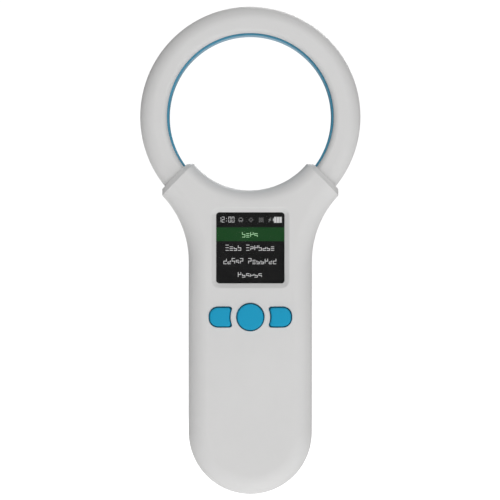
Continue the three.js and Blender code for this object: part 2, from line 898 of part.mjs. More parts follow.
function keyContact(key) {
  const back = boardFrontY - assemblyGap;
  return pin(key.x, keyZ, key.pill + 0.2, back - contactThickness, back);
}

function keypadMat() {
  const opening = keyFlange + matOpening;
  const width = 2 * (sideKeyOuter + opening + matEndBorder);
  const height = 2 * (centreKeyRadius + opening + matSideBorder);
  const shape = roundedRectangle(width, height, 1.5, 0, keyZ);
  let mat = solidOf(alongY(shape, matFrontY, matBackY));
  for (const key of keys) {
    const hole = alongY(key.shape(opening), matFrontY - 1, matBackY + 1);
    mat = mat.subtract(solidOf(hole));
  }
  return mat;
}

// ---------------------------------------------------------------- electronics

function mainBoard() {
  const shape = outline([
    ...arc(0, endZ, boardHalfWidth, Math.PI, 2 * Math.PI, 2 * outlineSegments),
    [boardHalfWidth, boardTopZ],
    [-boardHalfWidth, boardTopZ],
  ]);
  let board = solidOf(alongY(shape, boardFrontY, boardBackY));
  for (const { x, z } of screws) {
    const hole = pin(x, z, shankRadius + screwClearance, boardFrontY - 1, boardBackY + 1, 12);
    board = board.subtract(solidOf(hole));
  }
  return board;
}

// Middle of each packaged part on the board, and its width, height, thickness and eased edge.
const boardParts = [
  { name: "controller_chip", x: -9, z: 20, size: [9, 9, 1.4, 0.2], material: blackPlastic },
  { name: "reader_chip", x: 0.5, z: boardTopZ - 8, size: [7, 7, 1.2, 0.2], material: blackPlastic },
  { name: "radio_can", x: -9.5, z: 2, size: [12, 15, 2.2, 0.3], material: steel },
  { name: "memory_chip", x: -9, z: 33.5, size: [6, 5, 1.5, 0.2], material: blackPlastic },
  { name: "charger_chip", x: 6, z: -25.5, size: [4, 4, 1, 0.2], material: blackPlastic },
  { name: "clock_crystal", x: 3.5, z: 20, size: [5, 3.2, 1, 0.2], material: steel },
  { name: "power_inductor", x: 9.5, z: 12, size: [5, 5, 2.4, 0.4], material: carbonRubber },
];

function onBoard(x, z, width, height, thickness, ease) {
  const shape = roundedRectangle(width - 2 * ease, height - 2 * ease, 0.15, x, z);
  const back = boardBackY + assemblyGap;
  return alongY(shape, back + ease, back + thickness - ease, {
    bevelEnabled: true,
    bevelThickness: ease,
    bevelSize: ease,
    bevelSegments: 1,
  });
}

const socketMouthZ = bottomZ + socketInset;
const socketBackZ = socketMouthZ + socketLength;

function socketShape(inset) {
  const height = socketHeight - 2 * inset;
  return roundedRectangle(socketWidth - 2 * inset, height, height / 2 - 0.02, 0, partingY);
}

function socketShell() {
  const sleeve = solidOf(alongZ(socketShape(0), socketMouthZ, socketBackZ));
  const bore = solidOf(alongZ(socketShape(socketSheet), socketMouthZ - 1, socketBackZ - socketSheet));
  return sleeve.subtract(bore);
}

function socketTongue() {
  const top = socketBackZ - socketSheet - assemblyGap;
  const foot = top - tongueBase;
  const base = solidOf(alongZ(socketShape(socketSheet + assemblyGap), foot, top));
  const [x, y] = [tongueHalfWidth, tongueHalfThickness];
  const blade = box(-x, x, partingY - y, partingY + y, socketMouthZ + tongueInset, foot + 0.5);
  return base.add(solidOf(blade));
}

function buzzer() {
  const foot = boardBackY + assemblyGap;
  const top = foot + buzzerHeight;
  const can = solidOf(pin(0, soundCentreZ, buzzerRadius, foot, top));
  return can.subtract(solidOf(pin(0, soundCentreZ, buzzerPort, top - buzzerPortDepth, top + 1, 12)));
}

const batteryMidZ = batteryBottom + batteryHeight / 2;

function batteryCell() {
  const ease = batteryEase;
  const [width, height] = [batteryWidth - 2 * ease, batteryHeight - 2 * ease];
  const shape = roundedRectangle(width, height, 1.2, 0, batteryMidZ);
  return alongY(shape, batteryFrontY + ease, batteryBackY - ease, {
    bevelEnabled: true,
    bevelThickness: ease,
    bevelSize: ease,
    bevelSegments: 1,
  });
}

function batteryFoam() {
  const front = batteryBackY + assemblyGap;
  const shape = roundedRectangle(foamWidth, foamHeight, 1, 0, batteryMidZ);
  return alongY(shape, front, front + foamThickness);
}

// Two-pole connectors stand on the back of the board, with their plug in from above.
const connectorFoot = boardBackY + assemblyGap;
const batteryConnector = { x: 9.5, z: 32.5 };
const antennaConnector = { x: -10.5, z: boardTopZ - 8.5 };

// A header, or the space inside it, with its edges in by an inset and its mouth at a height.
function headerBox({ x, z }, inset, top) {
  const half = headerHalfWidth - inset;
  const back = connectorFoot + headerDepth - inset;
  return box(x - half, x + half, connectorFoot + inset, back, z - headerBelow + inset, z + top);
}

function header(place) {
  const outside = solidOf(headerBox(place, 0, headerAbove));
  return outside.subtract(solidOf(headerBox(place, headerWall, headerAbove + 1)));
}

function plug(place) {
  return headerBox(place, headerWall + plugGap, plugAbove);
}

const poleX = poleSpacing / 2;
const poleY = connectorFoot + headerDepth / 2;

// From the top edge of the battery, round into the top of its plug.
function batteryLead(way) {
  const { x, z } = batteryConnector;
  const top = z + plugAbove + leadStandOff;
  const middleY = (batteryFrontY + batteryBackY) / 2;
  return lead([
    [3 + way * 1.2, middleY, batteryTopZ + leadStandOff],
    [3 + way * 1.3, middleY, batteryTopZ + 5],
    [4.5 + way * 1.3, middleY - 1.2, batteryTopZ + 11.5],
    [x - 1.5 + way * poleX, poleY + 1.2, top + 4.6],
    [x + way * poleX, poleY + 0.1, top + 2.4],
    [x + way * poleX, poleY, top],
  ]);
}

// From the winding's foot, through the gap above the board, down into the antenna plug.
function antennaLead(way) {
  const { x, z } = antennaConnector;
  const top = z + plugAbove + leadStandOff;
  const startX = x + way * 2.2;
  const winding = formerInnerRadius + formerWall + bondGap + windingHeight + leadRadius + 0.15;
  const startZ = ringZ - Math.sqrt(winding * winding - startX * startX);
  return lead([
    [startX, way * 0.5, startZ],
    [startX + way * 0.1, -0.2, startZ - 1.2],
    [x + way * poleX * 1.2, poleY + 0.5, (startZ + top) / 2],
    [x + way * poleX, poleY, top],
  ]);
}

function ratingLabel() {
  const front = bodyHalfDepth - labelRecess + assemblyGap;
  return alongY(labelShape(0), front, front + labelThickness);
}

// ---------------------------------------------------------------- assembly

const scanner = new THREE.Group();

function add(name, shape, material) {
  const geometry = shape.isBufferGeometry ? shape : geometryOf(shape);
  const mesh = new THREE.Mesh(geometry, material);
  mesh.name = name;
  scanner.add(mesh);
}

add("front_shell", frontShell(), housingPlastic);
add("rear_shell", rearShell(), housingPlastic);
add("ring_front_shell", ringHalf(-1), housingPlastic);
add("ring_rear_shell", ringHalf(1), housingPlastic);
add("ring_liner", ringLiner(), bluePlastic);
add("coil_former", coilFormer(), whitePlastic);
add("antenna_coil", antennaCoil(), copper);
add("screen_window", screenWindow(), clearPlastic);
add("window_adhesive", windowAdhesive(), blackFoam);
add("display_panel", displayPanel(), displayFace);
add("display_tray", displayTray(), whitePlastic);
add("display_foam", displayFoam(), blackFoam);
add("display_flex", displayFlex(), polyimide);
add("keypad_mat", keypadMat(), blueRubber);
for (const key of keys) {
  add(`key_${key.name}`, keyTop(key), blueRubber);
  add(`key_web_${key.name}`, keyWeb(key), blueRubber);
  add(`carbon_pill_${key.name}`, keyPill(key), carbonRubber);
  add(`key_contact_${key.name}`, keyContact(key), gold);
}
add("main_board", mainBoard(), boardGreen);
for (const { name, x, z, size, material } of boardParts) {
  add(name, onBoard(x, z, ...size), material);
}
add("buzzer", buzzer(), blackPlastic);
add("usb_socket_shell", socketShell(), steel);
add("usb_socket_tongue", socketTongue(), blackPlastic);
add("battery_cell", batteryCell(), foil);
add("battery_foam", batteryFoam(), blackFoam);
add("battery_header", header(batteryConnector), whitePlastic);
add("battery_plug", plug(batteryConnector), whitePlastic);
add("battery_lead_red", batteryLead(1), redSleeve);
add("battery_lead_black", batteryLead(-1), blackSleeve);
add("antenna_header", header(antennaConnector), whitePlastic);
add("antenna_plug", plug(antennaConnector), whitePlastic);
add("antenna_lead_left", antennaLead(-1), copper);
add("antenna_lead_right", antennaLead(1), copper);
for (const screw of screws) add(`case_screw_${screw.name}`, caseScrew(screw), steel);
add("rating_label", ratingLabel(), labelFilm);

export default scanner;
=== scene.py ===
"""The looks of a handheld microchip scanner, built round its CAD frame.

Sizes are properties in metres. The modelling functions draw in millimetres, with X to the right,
Y from front to back and Z up. A finished piece is scaled to metres, with its object at the origin.
"""

import json
import math
import random
from functools import partial
from types import SimpleNamespace

import bmesh
import bpy
from mathutils import Color, Matrix, Vector


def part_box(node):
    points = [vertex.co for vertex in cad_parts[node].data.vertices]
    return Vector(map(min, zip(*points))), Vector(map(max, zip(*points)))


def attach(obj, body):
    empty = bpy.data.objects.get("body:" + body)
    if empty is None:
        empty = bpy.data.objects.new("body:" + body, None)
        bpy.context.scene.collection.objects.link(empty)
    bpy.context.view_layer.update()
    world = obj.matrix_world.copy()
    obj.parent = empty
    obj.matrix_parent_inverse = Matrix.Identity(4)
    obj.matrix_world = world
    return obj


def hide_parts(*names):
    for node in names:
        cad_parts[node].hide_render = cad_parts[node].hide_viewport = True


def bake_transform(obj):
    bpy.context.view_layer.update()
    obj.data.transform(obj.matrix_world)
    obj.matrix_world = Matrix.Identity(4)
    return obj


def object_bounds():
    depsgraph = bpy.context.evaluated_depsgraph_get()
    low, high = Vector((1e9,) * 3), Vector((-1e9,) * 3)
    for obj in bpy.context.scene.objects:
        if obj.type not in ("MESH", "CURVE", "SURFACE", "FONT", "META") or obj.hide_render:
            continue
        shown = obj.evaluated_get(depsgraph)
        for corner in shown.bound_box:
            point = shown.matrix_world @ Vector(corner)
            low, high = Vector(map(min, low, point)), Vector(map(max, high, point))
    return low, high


bl_info = {
    "name": "Microchip Scanner",
    "version": (1, 0, 0),
    "blender": (4, 5, 0),
    "location": "3D View > Sidebar > Scanner",
    "description": "Builds a microchip scanner's shells, antenna ring, display, keys and fittings",
    "category": "Object",
}

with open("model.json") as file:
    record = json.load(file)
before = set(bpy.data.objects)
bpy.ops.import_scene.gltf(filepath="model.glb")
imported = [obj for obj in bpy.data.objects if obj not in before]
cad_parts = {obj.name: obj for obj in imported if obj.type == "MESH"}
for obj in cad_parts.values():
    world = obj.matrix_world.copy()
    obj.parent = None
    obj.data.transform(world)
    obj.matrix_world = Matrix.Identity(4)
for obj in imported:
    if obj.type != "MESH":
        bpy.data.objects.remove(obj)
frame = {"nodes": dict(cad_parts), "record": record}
CAD_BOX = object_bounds()

SHELL_LOW, SHELL_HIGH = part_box("front_shell")
BACK_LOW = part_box("rear_shell")[0]
RING_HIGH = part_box("ring_front_shell")[1]
LINER_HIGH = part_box("ring_liner")[1]
KEY_LOW, KEY_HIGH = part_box("key_centre")
WINDOW_LOW, WINDOW_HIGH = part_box("screen_window")
PANEL_LOW, PANEL_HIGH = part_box("display_panel")
LABEL_LOW, LABEL_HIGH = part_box("rating_label")
SOCKET_LOW, SOCKET_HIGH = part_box("usb_socket_shell")

RING_CENTRE = RING_HIGH.z - RING_HIGH.x
QUARTER = math.pi / 2


# ---------------------------------------------------------------- sizes and colours


def length(name, description, default):
    return bpy.props.FloatProperty(
        name=name, description=description, default=default, unit="LENGTH", precision=5
    )


def colour(name, description, default):
    return bpy.props.FloatVectorProperty(
        name=name,
        description=description,
        default=default,
        size=3,
        min=0.0,
        max=1.0,
        subtype="COLOR_GAMMA",
    )


class ScannerBodySizes(bpy.types.PropertyGroup):
    """Sizes of the two handle shells"""

    half_width: length("Half width", "Half of the handle's width", 0.02305)
    half_depth: length("Half depth", "Half of the handle's depth", -SHELL_LOW.y)
    bottom: length("Bottom", "Height of the handle's bottom tip", BACK_LOW.z)
    flank_radius: length("Flank radius", "Hollow curve from the handle out to each arm", 0.0358)
    arm_outer: length("Arm side", "Side of each arm, out from the ring's centre", 0.04418)
    saddle_radius: length("Saddle radius", "Curved edge of the fork, inside the ring", 0.02755)
    side_roll: length("Side roll", "Rounding of the handle's sides", 0.0072)
    saddle_roll: length("Saddle roll", "Rounding of the fork's curved edge", 0.0056)
    wall: length("Wall", "Thickness of the shells", 0.002)
    front_rim: length("Front rim", "Where the front shell ends", SHELL_HIGH.y)
    gap: length("Parting gap", "Gap between the front and rear shells", 0.0002)
    lip: length("Parting lip", "Rounding of the shells along the gap", 0.00026)
    lap_inset: length("Lap inset", "Rear shell's tongue, in from the outside", 0.0011)
    collar_end: length("Collar end", "End of each arm, past its radial line", 0.0041)
    collar_lip: length("Collar lip", "End wall round the ring's neck", 0.0022)
    collar_chamfer: length("Collar chamfer", "Cut corner round each arm's end", 0.0017)
    screw_top_x: length("Upper screws, sideways", "Upper screws, out from the middle", 0.0172)
    screw_top_z: length("Upper screws, height", "Height of the upper screws", 0.06)
    screw_low_x: length("Lower screws, sideways", "Lower screws, out from the middle", 0.0115)
    screw_low_z: length("Lower screws, height", "Height of the lower screws", -0.026)


class ScannerRingSizes(bpy.types.PropertyGroup):
    """Sizes of the antenna ring"""

    centre: length("Centre", "Height of the ring's centre", RING_CENTRE)
    radius: length("Radius", "Outside radius of the ring", RING_HIGH.x)
    tube_width: length("Tube width", "Width of the ring seen from the front", 0.0101)
    half_depth: length("Half depth", "Half of the ring's depth", 0.00885)
    outer_roll: length("Outer roll", "Rounding of the ring's outside", 0.0056)
    inner_roll: length("Inner roll", "Rounding of the ring's inside", 0.0021)
    wall: length("Wall", "Thickness of the ring's shells", 0.0016)
    liner_radius: length("Liner radius", "Inside radius of the blue liner", 0.03035)
    liner_half_width: length("Liner half width", "Half of the liner's depth", LINER_HIGH.y)
    liner_seat: length("Liner seat", "Radius of the step that holds the liner", 0.0319)


class ScannerDisplaySizes(bpy.types.PropertyGroup):
    """Sizes of the display and its window"""

    centre: length("Centre", "Height of the picture's centre", (WINDOW_LOW.z + WINDOW_HIGH.z) / 2)
    width: length("Width", "Width of the picture", 0.0255)
    height: length("Height", "Height of the picture", 0.0265)
    corner: length("Corner", "Rounded corner of the picture", 0.0012)
    bezel_reach: length("Bezel reach", "Sloped frame round the opening", 0.0017)
    bezel_depth: length("Bezel depth", "How far the frame slopes in", 0.0014)
    dot: length("Dot", "One dot of the picture's writing", 0.00022)


class ScannerKeySizes(bpy.types.PropertyGroup):
    """Sizes of the three keys"""

    centre: length("Row height", "Height of the key row", (KEY_LOW.z + KEY_HIGH.z) / 2)
    front: length("Key front", "Front face of the keys", KEY_LOW.y)
    back: length("Key back", "Back face of the keys", KEY_HIGH.y)
    radius: length("Centre key radius", "Radius of the round key", 0.00488)
    hollow: length("Hollow radius", "Hollow side of a side key, round the centre key", 0.0078)
    outer: length("Outer end", "Far end of a side key", 0.01513)
    half_height: length("Half height", "Half of a side key's height", 0.0035)
    end_round: length("End rounding", "Rounding of a side key's far end", 0.0031)
    near_round: length("Near rounding", "Rounding of a side key's near corners", 0.0014)
    gap: length("Gap", "Gap round each key in its hole", 0.00037)
    flange: length("Flange", "Rim that keeps each key behind the shell", 0.0008)


class ScannerColours(bpy.types.PropertyGroup):
    """Colours of the scanner's finishes"""

    housing: colour("Housing", "Moulded shells", (0.838, 0.836, 0.834))
    liner: colour("Liner", "Hard blue plastic inside the ring", (0.22, 0.54, 0.66))
    keys: colour("Keys", "Blue silicone rubber", (0.03, 0.6, 0.76))
    screen: colour("Screen", "Dark part of the picture", (0.03, 0.03, 0.032))
    bar: colour("Chosen row", "Bar behind the chosen row", (0.05, 0.25, 0.09))
    writing: colour("Writing", "Writing on the display", (0.8, 0.8, 0.8))
    writing_chosen: colour("Chosen writing", "Writing on the chosen row", (0.66, 0.86, 0.66))
    marks: colour("Marks", "Small marks of the status row", (0.55, 0.55, 0.55))
    floor: colour("Floor", "Floor of the studio", (0.9, 0.9, 0.9))


def in_mm(group):
    """A property group's lengths, in millimetres."""
    names = type(group).__annotations__
    return SimpleNamespace(**{name: getattr(group, name) * 1000 for name in names})


# ---------------------------------------------------------------- drawing


def line_to(bm, vert, x, z):
    """Carries a line on from a vertex to a new place, at the same depth."""
    end = bmesh.ops.extrude_vert_indiv(bm, verts=[vert])["verts"][0]
    end.co = (x, vert.co.y, z)
    return end


def arc_about(bm, vert, x, z, angle, steps):
    """Carries an arc on from a vertex round a centre. A positive angle is clockwise in front."""
    made = bmesh.ops.spin(
        bm,
        geom=[vert],
        cent=(x, vert.co.y, z),
        axis=(0, 1, 0),
        dvec=(0, 0, 0),
        angle=angle,
        steps=steps,
        use_merge=False,
        use_duplicate=False,
    )
    return next(v for v in made["geom_last"] if isinstance(v, bmesh.types.BMVert))


def added(bm, before):
    """The faces that were not there before."""
    return [face for face in bm.faces if face not in before]


def close(bm, edges):
    """Joins the ends of an outline and fills it with one face."""
    ends = {vert for edge in edges for vert in edge.verts}
    bmesh.ops.remove_doubles(bm, verts=list(ends), dist=1e-3)
    edges = [edge for edge in bm.edges if edge.is_wire]
    return bmesh.ops.contextual_create(bm, geom=edges)["faces"][0]


def ease(bm, verts, radius, steps):
    """Rounds corners of a flat outline."""
    bmesh.ops.bevel(
        bm,
        geom=list(verts),
        offset=radius,
        offset_type="OFFSET",
        segments=steps,
        profile=0.5,
        affect="VERTICES",
        material=-1,
        clamp_overlap=False,
    )


def round_edges(bm, edges, radius, steps):
    """Rounds edges of a body."""
    bmesh.ops.bevel(
        bm,
        geom=list(edges),
        offset=radius,
        offset_type="OFFSET",
        segments=steps,
        profile=0.5,
        affect="EDGES",
        material=-1,
        clamp_overlap=False,
        loop_slide=True,
    )


def rounded_rectangle(bm, width, height, corner, x, y, z, steps=8):
    """A flat rounded rectangle that faces along Y."""
    before = set(bm.faces)
    verts = bmesh.ops.create_grid(bm, x_segments=1, y_segments=1, size=0.5)["verts"]
    bmesh.ops.scale(bm, verts=verts, vec=(width, height, 1))
    bmesh.ops.rotate(bm, verts=verts, cent=(0, 0, 0), matrix=Matrix.Rotation(QUARTER, 3, "X"))
    bmesh.ops.translate(bm, verts=verts, vec=(x, y, z))
    ease(bm, verts, corner, steps)
    return added(bm, before)[0]


def disc(bm, radius, x, y, z, steps):
    """A flat disc that faces along Y."""
    before = set(bm.faces)
    turned = Matrix.Translation((x, y, z)) @ Matrix.Rotation(QUARTER, 4, "X")
    bmesh.ops.create_circle(bm, cap_ends=True, radius=radius, segments=steps, matrix=turned)
    return added(bm, before)[0]


def loft(bm, draw, levels):
    """Skins a closed outline drawn at several depths. Each level is a depth and a growth."""
    faces = [draw(bm, grow, y) for y, grow in apart(levels)]
    loops = [list(face.edges) for face in faces]
    bmesh.ops.delete(bm, geom=faces[1:-1], context="FACES_ONLY")
    for a, b in zip(loops, loops[1:]):
        bmesh.ops.bridge_loops(bm, edges=a + b)


def apart(levels):
    """Moves a level that lies in the plane of the one before it a hair on, so that they bridge."""
    hair = math.copysign(0.01, levels[-1][0] - levels[0][0])
    placed = [levels[0]]
    for y, grow in levels[1:]:
        level_with_last = abs(y - placed[-1][0]) < abs(hair) / 2
        placed.append((y + hair if level_with_last else y, grow))
    return placed


def mouth(face_y, inward, fillet, depth):
    """Levels of a hole whose rim is rounded where it meets a flat face."""
    steps = 4
    proud = 0.5
    levels = [(face_y - inward * proud, fillet)]
    for i in range(steps + 1):
        turn = QUARTER * i / steps
        y = face_y + inward * fillet * (1 - math.cos(turn))
        levels.append((y, fillet * (1 - math.sin(turn))))
    levels.append((face_y + inward * depth, 0))
    return levels


def crown(front, back, edge, steps):
    """Levels of a block whose front rim is rounded, from its back to its front."""
    levels = [(back, 0)]
    for i in range(steps + 1):
        turn = QUARTER * i / steps
        levels.append((front + edge * (1 - math.sin(turn)), -edge * (1 - math.cos(turn))))
    return levels


# ---------------------------------------------------------------- pieces


def to_object(bm, name):
    """Makes a bmesh an object of the scene, with its faces outwards."""
    bmesh.ops.recalc_face_normals(bm, faces=bm.faces)
    mesh = bpy.data.meshes.new(name)
    bm.to_mesh(mesh)
    bm.free()
    obj = bpy.data.objects.new(name, mesh)
    bpy.context.scene.collection.objects.link(obj)
    return obj


def tool(draw, levels):
    """A lofted body used to add to or cut from a piece."""
    bm = bmesh.new()
    loft(bm, draw, levels)
    return to_object(bm, "tool")


def carve(obj, tools, operation="DIFFERENCE"):
    """Adds other bodies to a piece, or cuts them from it, for good."""
    for other in tools:
        change = obj.modifiers.new("Carve", "BOOLEAN")
        change.operation = operation
        change.solver = "MANIFOLD"
        change.object = other
    graph = bpy.context.evaluated_depsgraph_get()
    mesh = bpy.data.meshes.new_from_object(obj.evaluated_get(graph))
    obj.modifiers.clear()
    obj.data = mesh
    for other in tools:
        bpy.data.objects.remove(other)
    if not mesh.polygons:
        raise RuntimeError(f"{obj.name} was left empty by its cuts")


def settle(obj, coat, body="housing", replaces=(), sharp=32):
    """Scales a piece to metres, and gives it its shading, coat of material and place on a body."""
    mesh = obj.data
    mesh.transform(Matrix.Scale(0.001, 4))
    mesh.shade_smooth()
    mesh.set_sharp_from_angle(angle=math.radians(sharp))
    even = obj.modifiers.new("Even shading", "WEIGHTED_NORMAL")
    even.keep_sharp = True
    if coat:
        mesh.materials.clear()
        mesh.materials.append(coat)
    if body:
        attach(obj, body)
    if replaces:
        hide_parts(*replaces)
    return obj


# ---------------------------------------------------------------- finishes


def scene_colour(value):
    """A display colour as the renderer's own linear colour."""
    linear = Color(value).from_srgb_to_scene_linear()
    return (linear.r, linear.g, linear.b, 1.0)


def new_group(name, inputs, outputs):
    """A shader node group with named number inputs and outputs."""
    tree = bpy.data.node_groups.new(name, "ShaderNodeTree")
    for label, default in inputs:
        socket = tree.interface.new_socket(label, in_out="INPUT", socket_type="NodeSocketFloat")
        socket.default_value = default
    for label in outputs:
        tree.interface.new_socket(label, in_out="OUTPUT", socket_type="NodeSocketFloat")
    return tree, tree.nodes.new("NodeGroupInput"), tree.nodes.new("NodeGroupOutput")


def math_node(tree, operation, a, b, clamp=False):
    """The result of a sum on two values, each a number or another node's socket."""
    node = tree.nodes.new("ShaderNodeMath")
    node.operation = operation
    node.use_clamp = clamp
    for socket, value in zip(node.inputs, (a, b)):
        if isinstance(value, (int, float)):
            socket.default_value = value
        else:
            tree.links.new(value, socket)
    return node.outputs[0]


def noise(tree, scale, detail=2.0, rough=0.5, vector=None):
    """A noise from 0 to 1, on Object coordinates unless it is given others."""
    node = tree.nodes.new("ShaderNodeTexNoise")
    node.inputs["Detail"].default_value = detail
    node.inputs["Roughness"].default_value = rough
    if isinstance(scale, (int, float)):
        node.inputs["Scale"].default_value = scale
    else:
        tree.links.new(scale, node.inputs["Scale"])
    if vector is None:
        vector = tree.nodes.new("ShaderNodeTexCoord").outputs["Object"]
    tree.links.new(vector, node.inputs["Vector"])
    return node.outputs["Fac"]


def moulded_grain():
    """Fine spark-eroded grain of a moulding tool, with softer pits between the peaks."""
    tree = bpy.data.node_groups.get("Moulded grain")
    if tree:
        return tree
    tree, given, out = new_group("Moulded grain", [("Scale", 2600.0)], ["Height", "Speckle"])
    fine = noise(tree, given.outputs["Scale"], 3.0, 0.55)
    pits = tree.nodes.new("ShaderNodeTexVoronoi")
    pits.inputs["Randomness"].default_value = 0.9
    half = math_node(tree, "MULTIPLY", given.outputs["Scale"], 0.55)
    tree.links.new(half, pits.inputs["Scale"])
    place = tree.nodes.new("ShaderNodeTexCoord").outputs["Object"]
    tree.links.new(place, pits.inputs["Vector"])
    depth = math_node(tree, "MULTIPLY", pits.outputs["Distance"], 0.5)
    height = math_node(tree, "ADD", fine, depth)
    tree.links.new(height, out.inputs["Height"])
    tree.links.new(fine, out.inputs["Speckle"])
    return tree


def handling():
    """Slow changes left by flow in the mould and by hands, from 0 to 1."""
    tree = bpy.data.node_groups.get("Handling")
    if tree:
        return tree
    tree, given, out = new_group("Handling", [("Scale", 40.0), ("Contrast", 1.6)], ["Mask"])
    smear_share = 0.45
    mean = (1 + smear_share) / 2
    broad = noise(tree, given.outputs["Scale"], 3.0, 0.5)
    smear = noise(tree, math_node(tree, "MULTIPLY", given.outputs["Scale"], 6.0), 4.0, 0.65)
    both = math_node(tree, "ADD", broad, math_node(tree, "MULTIPLY", smear, smear_share))
    centred = math_node(tree, "SUBTRACT", both, mean)
    spread = math_node(tree, "MULTIPLY", centred, given.outputs["Contrast"])
    tree.links.new(math_node(tree, "ADD", spread, 0.5, clamp=True), out.inputs["Mask"])
    return tree


def edge_wear():
    """Rubbed rims, found where a softened normal turns away from the surface, broken by noise."""
    tree = bpy.data.node_groups.get("Edge wear")
    if tree:
        return tree
    inputs = [("Radius", 0.0004), ("Amount", 1.0)]
    tree, given, out = new_group("Edge wear", inputs, ["Mask"])
    soft = tree.nodes.new("ShaderNodeBevel")
    soft.samples = 4
    tree.links.new(given.outputs["Radius"], soft.inputs["Radius"])
    surface = tree.nodes.new("ShaderNodeNewGeometry")
    dot = tree.nodes.new("ShaderNodeVectorMath")
    dot.operation = "DOT_PRODUCT"
    tree.links.new(soft.outputs["Normal"], dot.inputs[0])
    tree.links.new(surface.outputs["Normal"], dot.inputs[1])
    turned = math_node(tree, "SUBTRACT", 1.0, dot.outputs["Value"])
    broken = math_node(tree, "MULTIPLY", turned, noise(tree, 900.0, 4.0, 0.7))
    scaled = math_node(tree, "MULTIPLY", broken, given.outputs["Amount"], clamp=True)
    tree.links.new(scaled, out.inputs["Mask"])
    return tree


def crevice_dust_and_shade():
    """Dust that settles in seams and gaps, with painted shade where they are closed in, from 0 to
    1.
    """
    tree = bpy.data.node_groups.get("Crevice dust and shade")
    if tree:
        return tree
    inputs = [("Reach", 0.0012), ("Amount", 1.0)]
    tree, given, out = new_group("Crevice dust and shade", inputs, ["Mask"])
    # Ambient occlusion finds closed-in places, and the mask darkens them as dust and as painted
    # shade.
    shade = tree.nodes.new("ShaderNodeAmbientOcclusion")
    shade.samples = 4
    tree.links.new(given.outputs["Reach"], shade.inputs["Distance"])
    closed = math_node(tree, "SUBTRACT", 1.0, shade.outputs["AO"])
    patchy = math_node(tree, "MULTIPLY", closed, noise(tree, 1400.0, 3.0, 0.6))
    scaled = math_node(tree, "MULTIPLY", patchy, given.outputs["Amount"], clamp=True)
    tree.links.new(scaled, out.inputs["Mask"])
    return tree


def place_group(mat, group, **values):
    """Places a shared group in a material, with its own values."""
    node = mat.node_tree.nodes.new("ShaderNodeGroup")
    node.node_tree = group
    for label, value in values.items():
        node.inputs[label].default_value = value
    return node


def blend_colour(tree, factor, a, b):
    """Mixes two colours. Either may be a plain colour or another node's socket."""
    node = tree.nodes.new("ShaderNodeMix")
    node.data_type = "RGBA"
    tree.links.new(factor, node.inputs["Factor"])
    for socket, value in ((node.inputs[6], a), (node.inputs[7], b)):
        if isinstance(value, bpy.types.NodeSocket):
            tree.links.new(value, socket)
        else:
            socket.default_value = value
    return node.outputs[2]


def remap(tree, value, low, high):
    """Stretches a mask from 0..1 to another range."""
    node = tree.nodes.new("ShaderNodeMapRange")
    node.inputs["To Min"].default_value = low
    node.inputs["To Max"].default_value = high
    tree.links.new(value, node.inputs["Value"])
    return node.outputs["Result"]


def shifted(value, factor):
    """A colour made lighter or darker."""
    return tuple(min(1.0, max(0.0, channel * factor)) for channel in value[:3]) + (1.0,)


def new_material(name):
    """A new material, its nodes and its shader."""
    mat = bpy.data.materials.new(name)
    mat.use_nodes = True
    return mat, mat.node_tree, mat.node_tree.nodes["Principled BSDF"]


def moulded(
    name,
    base,
    rough,
    grain=2600.0,
    grain_depth=0.000012,
    worn=1.08,
    dust_and_shade=0.5,
    wear=1.0,
    shine=0.5,
):
    """A moulded or rubbery surface with grain, rubbed rims, and dust and painted shade in its
    seams.
    """
    mat, tree, shader = new_material(name)
    shader.inputs["Specular IOR Level"].default_value = shine
    marks = place_group(mat, handling(), Scale=45.0, Contrast=1.5)
    tone = blend_colour(tree, marks.outputs["Mask"], shifted(base, 0.975), shifted(base, 1.015))
    if wear:
        rim = place_group(mat, edge_wear(), Radius=0.0003, Amount=wear)
        tone = blend_colour(tree, rim.outputs["Mask"], tone, shifted(base, worn))
    # Seams and gaps are darkened by dust and by painted shade, where ambient occlusion finds them
    # closed in.
    if dust_and_shade:
        seam = place_group(mat, crevice_dust_and_shade(), Reach=0.001, Amount=dust_and_shade)
        tone = blend_colour(tree, seam.outputs["Mask"], tone, shifted(base, 0.62))
    tree.links.new(tone, shader.inputs["Base Color"])
    gloss = remap(tree, marks.outputs["Mask"], rough - 0.05, rough + 0.06)
    tree.links.new(gloss, shader.inputs["Roughness"])
    texture = place_group(mat, moulded_grain(), Scale=grain)
    bump = tree.nodes.new("ShaderNodeBump")
    bump.inputs["Strength"].default_value = 0.5
    bump.inputs["Distance"].default_value = grain_depth
    tree.links.new(texture.outputs["Height"], bump.inputs["Height"])
    tree.links.new(bump.outputs["Normal"], shader.inputs["Normal"])
    return mat


def metal(name, base, rough, stretch=(1, 1, 1), grain=1500.0):
    """A metal surface with drawn or rolled lines and small changes of gloss."""
    mat, tree, shader = new_material(name)
    shader.inputs["Metallic"].default_value = 1.0
    turn = tree.nodes.new("ShaderNodeMapping")
    turn.inputs["Scale"].default_value = stretch
    place = tree.nodes.new("ShaderNodeTexCoord").outputs["Object"]
    tree.links.new(place, turn.inputs["Vector"])
    lines = noise(tree, grain, 4.0, 0.6, turn.outputs["Vector"])
    marks = place_group(mat, handling(), Scale=220.0, Contrast=1.8)
    tone = blend_colour(tree, marks.outputs["Mask"], shifted(base, 0.86), base)
    tree.links.new(tone, shader.inputs["Base Color"])
    tree.links.new(remap(tree, lines, rough - 0.08, rough + 0.12), shader.inputs["Roughness"])
    bump = tree.nodes.new("ShaderNodeBump")
    bump.inputs["Strength"].default_value = 0.3
    bump.inputs["Distance"].default_value = 0.00001
    tree.links.new(lines, bump.inputs["Height"])
    tree.links.new(bump.outputs["Normal"], shader.inputs["Normal"])
    return mat


